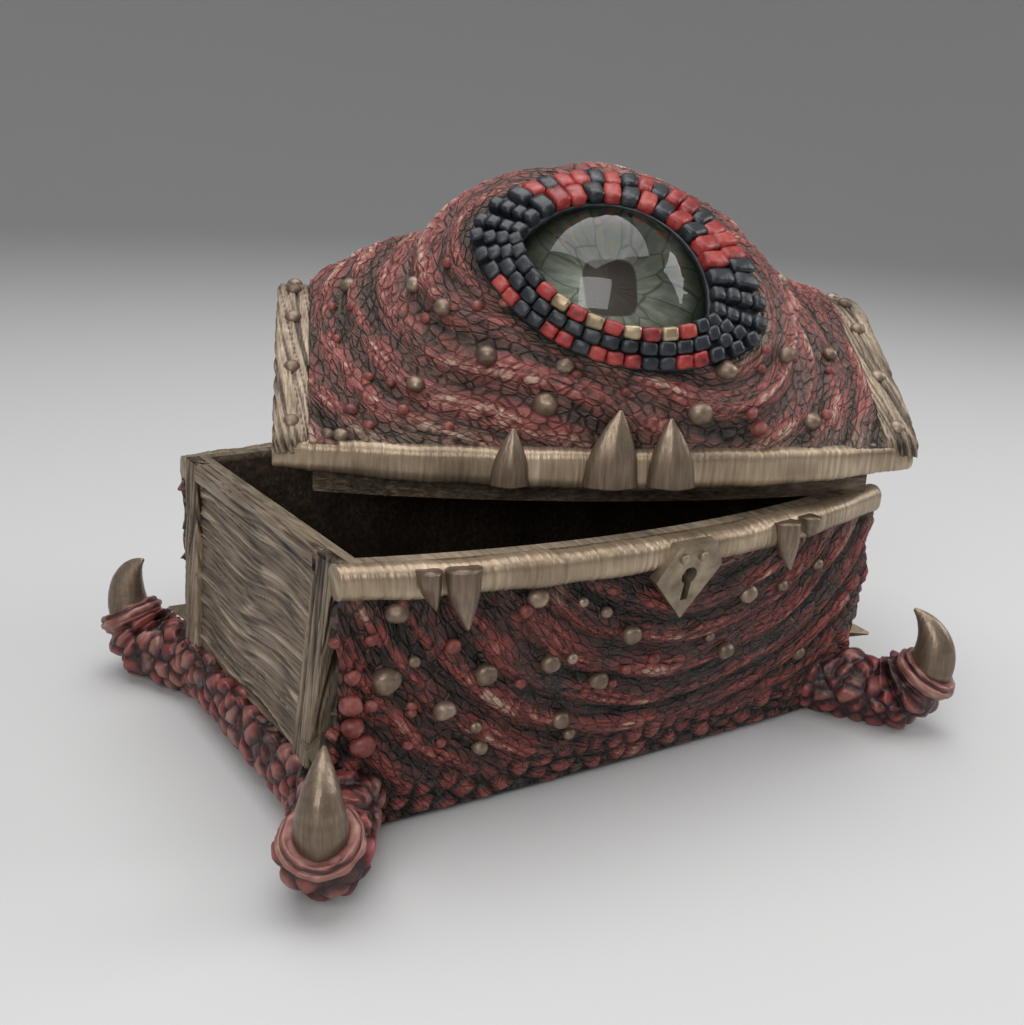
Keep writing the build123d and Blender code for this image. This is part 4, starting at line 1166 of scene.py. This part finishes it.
# an outline of distance from the axis and height, spun right round
def spunRound(outline):
    bm = bmesh.new()
    verts = [bm.verts.new((x, 0, z)) for x, z in outline]
    edges = [bm.edges.new(pair) for pair in zip(verts, verts[1:])]
    bmesh.ops.spin(bm, geom=verts + edges, cent=(0, 0, 0), axis=(0, 0, 1), angle=2 * math.pi, steps=96,
                   use_merge=True)
    bmesh.ops.remove_doubles(bm, verts=bm.verts[:], dist=0.0001)
    bmesh.ops.recalc_face_normals(bm, faces=bm.faces[:])
    return bm


# Glass dome: the outline of half the lens, spun round the eye's axis
def glassLens():
    look = eyeForm
    radius, height = look["glassRadius"], look["glassHeight"]
    curve = (radius**2 + height**2) / (2 * height)
    low = -look["sink"] - look["glassBase"]
    bevel, steps = look["glassBevel"], look["glassSteps"]
    outline = [(0.0, low), (radius - bevel, low), (radius, low + bevel), (radius, -look["sink"])]
    start = math.asin(radius / curve)
    for k in range(1, steps + 1):
        angle = start * (1 - k / steps)
        outline.append((curve * math.sin(angle), -look["sink"] + height - curve + curve * math.cos(angle)))
    return spunRound(outline)


def irisDisc():
    look = eyeForm
    high = -look["sink"] - look["glassBase"] + look["irisLet"]  # let into the glass, as if glued
    bm = bmesh.new()
    bmesh.ops.create_circle(bm, cap_ends=True, cap_tris=False, segments=72,
                            radius=look["glassRadius"] - look["irisInset"])
    bmesh.ops.inset_region(bm, faces=bm.faces[:], thickness=0.5)
    lower = bmesh.ops.extrude_face_region(bm, geom=bm.faces[:])
    for v in lower["geom"]:
        if isinstance(v, bmesh.types.BMVert):
            v.co.z -= look["irisThick"]
    bmesh.ops.translate(bm, verts=bm.verts[:], vec=(0, 0, high))
    bmesh.ops.recalc_face_normals(bm, faces=bm.faces[:])
    flow = bm.verts.layers.float_vector.new("flow")
    for v in bm.verts:
        v[flow] = (v.co.x, v.co.y, 0)
    return bm


# the slit's edge lies low at the corners of the eye
def slitLevel(share):
    return mix(eyeForm["cornerRise"], eyeForm["bedRise"], math.sin(math.pi * min(1.0, max(0.0, share))) ** 0.7)


# bed of the eyelids: a ring that slopes from the outline up to the slit
def lidsBed():
    look = eyeForm

    def ring(share, turn):
        upper = share < 0.5
        along = share * 2 if upper else 2 - share * 2
        outer = (lidsUpper if upper else lidsLower).at(along)
        inner = (slitUpper if upper else slitLower).at(along)
        foot, underside = ((*(outer * k), look["bedFoot"]) for k in (look["bedOut"], look["bedIn"]))
        section = PathLine([foot, (*outer, look["bedEdge"]), (*inner, slitLevel(along)),
                            (*inner, slitLevel(along) - look["bedWall"]), underside, foot])
        return section.at(turn)

    return reliefTube(*look["bedGrid"], ring, closed=True)


scaleForm = {
    "height": 2.7, "lift": -0.4, "fill": 0.99, "rowEnd": 0.12,
    # place, and colours from the left, of each row, innermost row first
    "upper": ((0.24, "krrkrkrkrkrrk"), (0.72, "krkrrkrkrkrrkrrrkk")), "upperWidth": 0.46,
    "lower": ((0.17, "kkrgrgrgrgr"), (0.5, "kkkkkkkkkkkkk"), (0.83, "krrkkrrkrrrkkrrk")), "lowerWidth": 0.325,
    "cornerShares": (0.025, 0.085), "cornerRows": (0.14, 0.38, 0.63, 0.88), "cornerSize": 2.8,
    "cuts": 3, "power": 5.0, "uneven": 0.13, "seed": 5,
}
scaleColours = {"k": "black", "r": "red", "g": "gold"}


def scaleSeats():
    look = scaleForm
    dice = random.Random(look["seed"])
    colours = {"red": [], "black": [], "gold": []}

    def seat(upper, rowShare, share, length, width, colour):
        inner, outer = (slitUpper, lidsUpper) if upper else (slitLower, lidsLower)
        near = Vector((*inner.at(share), slitLevel(share)))
        far = Vector((*outer.at(share), eyeForm["bedEdge"]))
        run = Vector((*(mix(inner.at(share + 0.01), outer.at(share + 0.01), rowShare)
                        - mix(inner.at(share - 0.01), outer.at(share - 0.01), rowShare)), 0)).normalized()
        slope = far - near
        tip = run.cross(slope).normalized()
        tip = tip if tip.z > 0 else -tip
        turn = Matrix((run, tip.cross(run), tip)).transposed().to_4x4()
        width = width or run.cross(slope).length * look["upperWidth" if upper else "lowerWidth"]
        size = (length, width, look["height"] * dice.uniform(0.9, 1.12))
        middle = near.lerp(far, rowShare) + tip * (size[2] / 2 + look["lift"])
        colours[colour].append(Matrix.Translation(middle) @ turn
                               @ Matrix.Rotation(dice.uniform(-0.06, 0.06), 4, "Z")
                               @ Matrix.Rotation(dice.uniform(-0.07, 0.07), 4, "X")
                               @ Matrix.Diagonal((*(k / 2 for k in size), 1)))

    for upper, rows in ((True, look["upper"]), (False, look["lower"])):
        lengths = (slitUpper.length, lidsUpper.length) if upper else (slitLower.length, lidsLower.length)
        for rowShare, order in rows:
            length = mix(*lengths, rowShare) * (1 - 2 * look["rowEnd"]) / len(order) * look["fill"]
            for place, letter in enumerate(order):
                share = mix(look["rowEnd"], 1 - look["rowEnd"], (place + 0.5) / len(order))
                seat(upper, rowShare, share, length, None, scaleColours[letter])
        for share in look["cornerShares"]:
            for rowShare in look["cornerRows"]:
                for end in (share, 1 - share):
                    seat(upper, rowShare, end, look["cornerSize"], look["cornerSize"], "black")
    return colours


# rounded blocks: a divided cube drawn in at its corners
def scaleBlocks(seats):
    look = scaleForm
    bm = bmesh.new()
    for number, seat in enumerate(seats):
        block = bmesh.new()
        bmesh.ops.create_cube(block, size=2.0)
        bmesh.ops.subdivide_edges(block, edges=block.edges[:], cuts=look["cuts"], use_grid_fill=True)
        for v in block.verts:
            spread = sum(abs(k) ** look["power"] for k in v.co) ** (1 / look["power"])
            lump = 1 + look["uneven"] * noise.noise(v.co * 1.4 + Vector((number * 3.1, 0, 0)))
            v.co = seat @ (v.co / spread * lump)
        mesh = bpy.data.meshes.new("scale")
        block.to_mesh(mesh)
        block.free()
        bm.from_mesh(mesh)
        bpy.data.meshes.remove(mesh)
    return bm


putDown("eyeGlass", glassLens(), glassMaterial(), "lid", "eye_glass", ("eye_glass",), eyePlace)
putDown("eyeIris", irisDisc(), irisMaterial(irisFinish), "lid", "iris", ("eye_iris",), eyePlace)
putDown("eyelidBed", lidsBed(), scalePaints["black"], "lid", "hide", ("eyelids",), eyePlace)
for colour, seats in scaleSeats().items():
    putDown("eyelidScales" + colour.title(), scaleBlocks(seats), scalePaints[colour], "lid", "scale_" + colour,
            ("eyelid_scales_" + colour,), eyePlace)
print("eye done")

# Floor, light and camera
floorForm = {"flat": 1.3, "curve": 1.0, "wall": 1.6, "steps": 16, "grey": 0.62}
floorLine = [(0.0, 0.0), (floorForm["flat"], 0.0)]
for k in range(1, floorForm["steps"] + 1):
    lean = math.pi / 2 * k / floorForm["steps"]
    floorLine.append((floorForm["flat"] + floorForm["curve"] * math.sin(lean),
                      floorForm["curve"] * (1 - math.cos(lean))))
floorLine.append((floorLine[-1][0], floorForm["wall"]))
floorBuild = spunRound(floorLine)
if floorBuild.faces[0].normal.z < 0:
    bmesh.ops.reverse_faces(floorBuild, faces=floorBuild.faces[:])
floorMesh = bpy.data.meshes.new("paleFloor")
floorBuild.to_mesh(floorMesh)
floorBuild.free()
for polygon in floorMesh.polygons:
    polygon.use_smooth = True
floor = bpy.data.objects.new("paleFloor", floorMesh)
scene.collection.objects.link(floor)
floorTone = (*[floorForm["grey"]] * 3, 1)
floorMesh.materials.append(startFinish("floorPaint", Base_Color=floorTone, Roughness=0.6)[0])

world = bpy.data.worlds.new("studio")
world.use_nodes = True
for key, value in (("Color", (0.8, 0.8, 0.8, 1)), ("Strength", 0.35)):
    world.node_tree.nodes["Background"].inputs[key].default_value = value
scene.world = world

# name, place, size and power, all aimed at one spot
studioLights = (("overhead", (0.0, 0.05, 0.75), 0.8, 4.8), ("frontLeft", (-0.55, -0.55, 0.5), 0.5, 3.0),
                ("right", (0.65, -0.25, 0.4), 0.4, 1.7))
lightAim = Vector((0.0, 0.0, 0.05))
for lightName, spot, size, power in studioLights:
    light = bpy.data.lights.new(lightName, "AREA")
    light.size, light.energy = size, power
    lamp = bpy.data.objects.new(lightName, light)
    lamp.location = spot
    lamp.rotation_euler = (lightAim - Vector(spot)).to_track_quat("-Z", "Y").to_euler()
    scene.collection.objects.link(lamp)

cameraForm = {
    "spot": (-0.147454, -0.224044, 0.126882), "lens": 43.785, "sensor": 36.0, "near": 0.01,
    "right": (0.8479557, -0.5283199, 0.0430026), "up": (0.1188364, 0.2685393, 0.9559103),
    "ahead": (0.5165743, 0.8054593, -0.2904931),
}
camera = bpy.data.objects.new("camera", bpy.data.cameras.new("camera"))
camera.data.lens = cameraForm["lens"]
camera.data.sensor_width = cameraForm["sensor"]
camera.data.clip_start = cameraForm["near"]
camera.matrix_world = Matrix.Translation(cameraForm["spot"]) @ Matrix(
    (cameraForm["right"], cameraForm["up"], tuple(-k for k in cameraForm["ahead"]))).transposed().to_4x4()
scene.collection.objects.link(camera)
scene.camera = camera
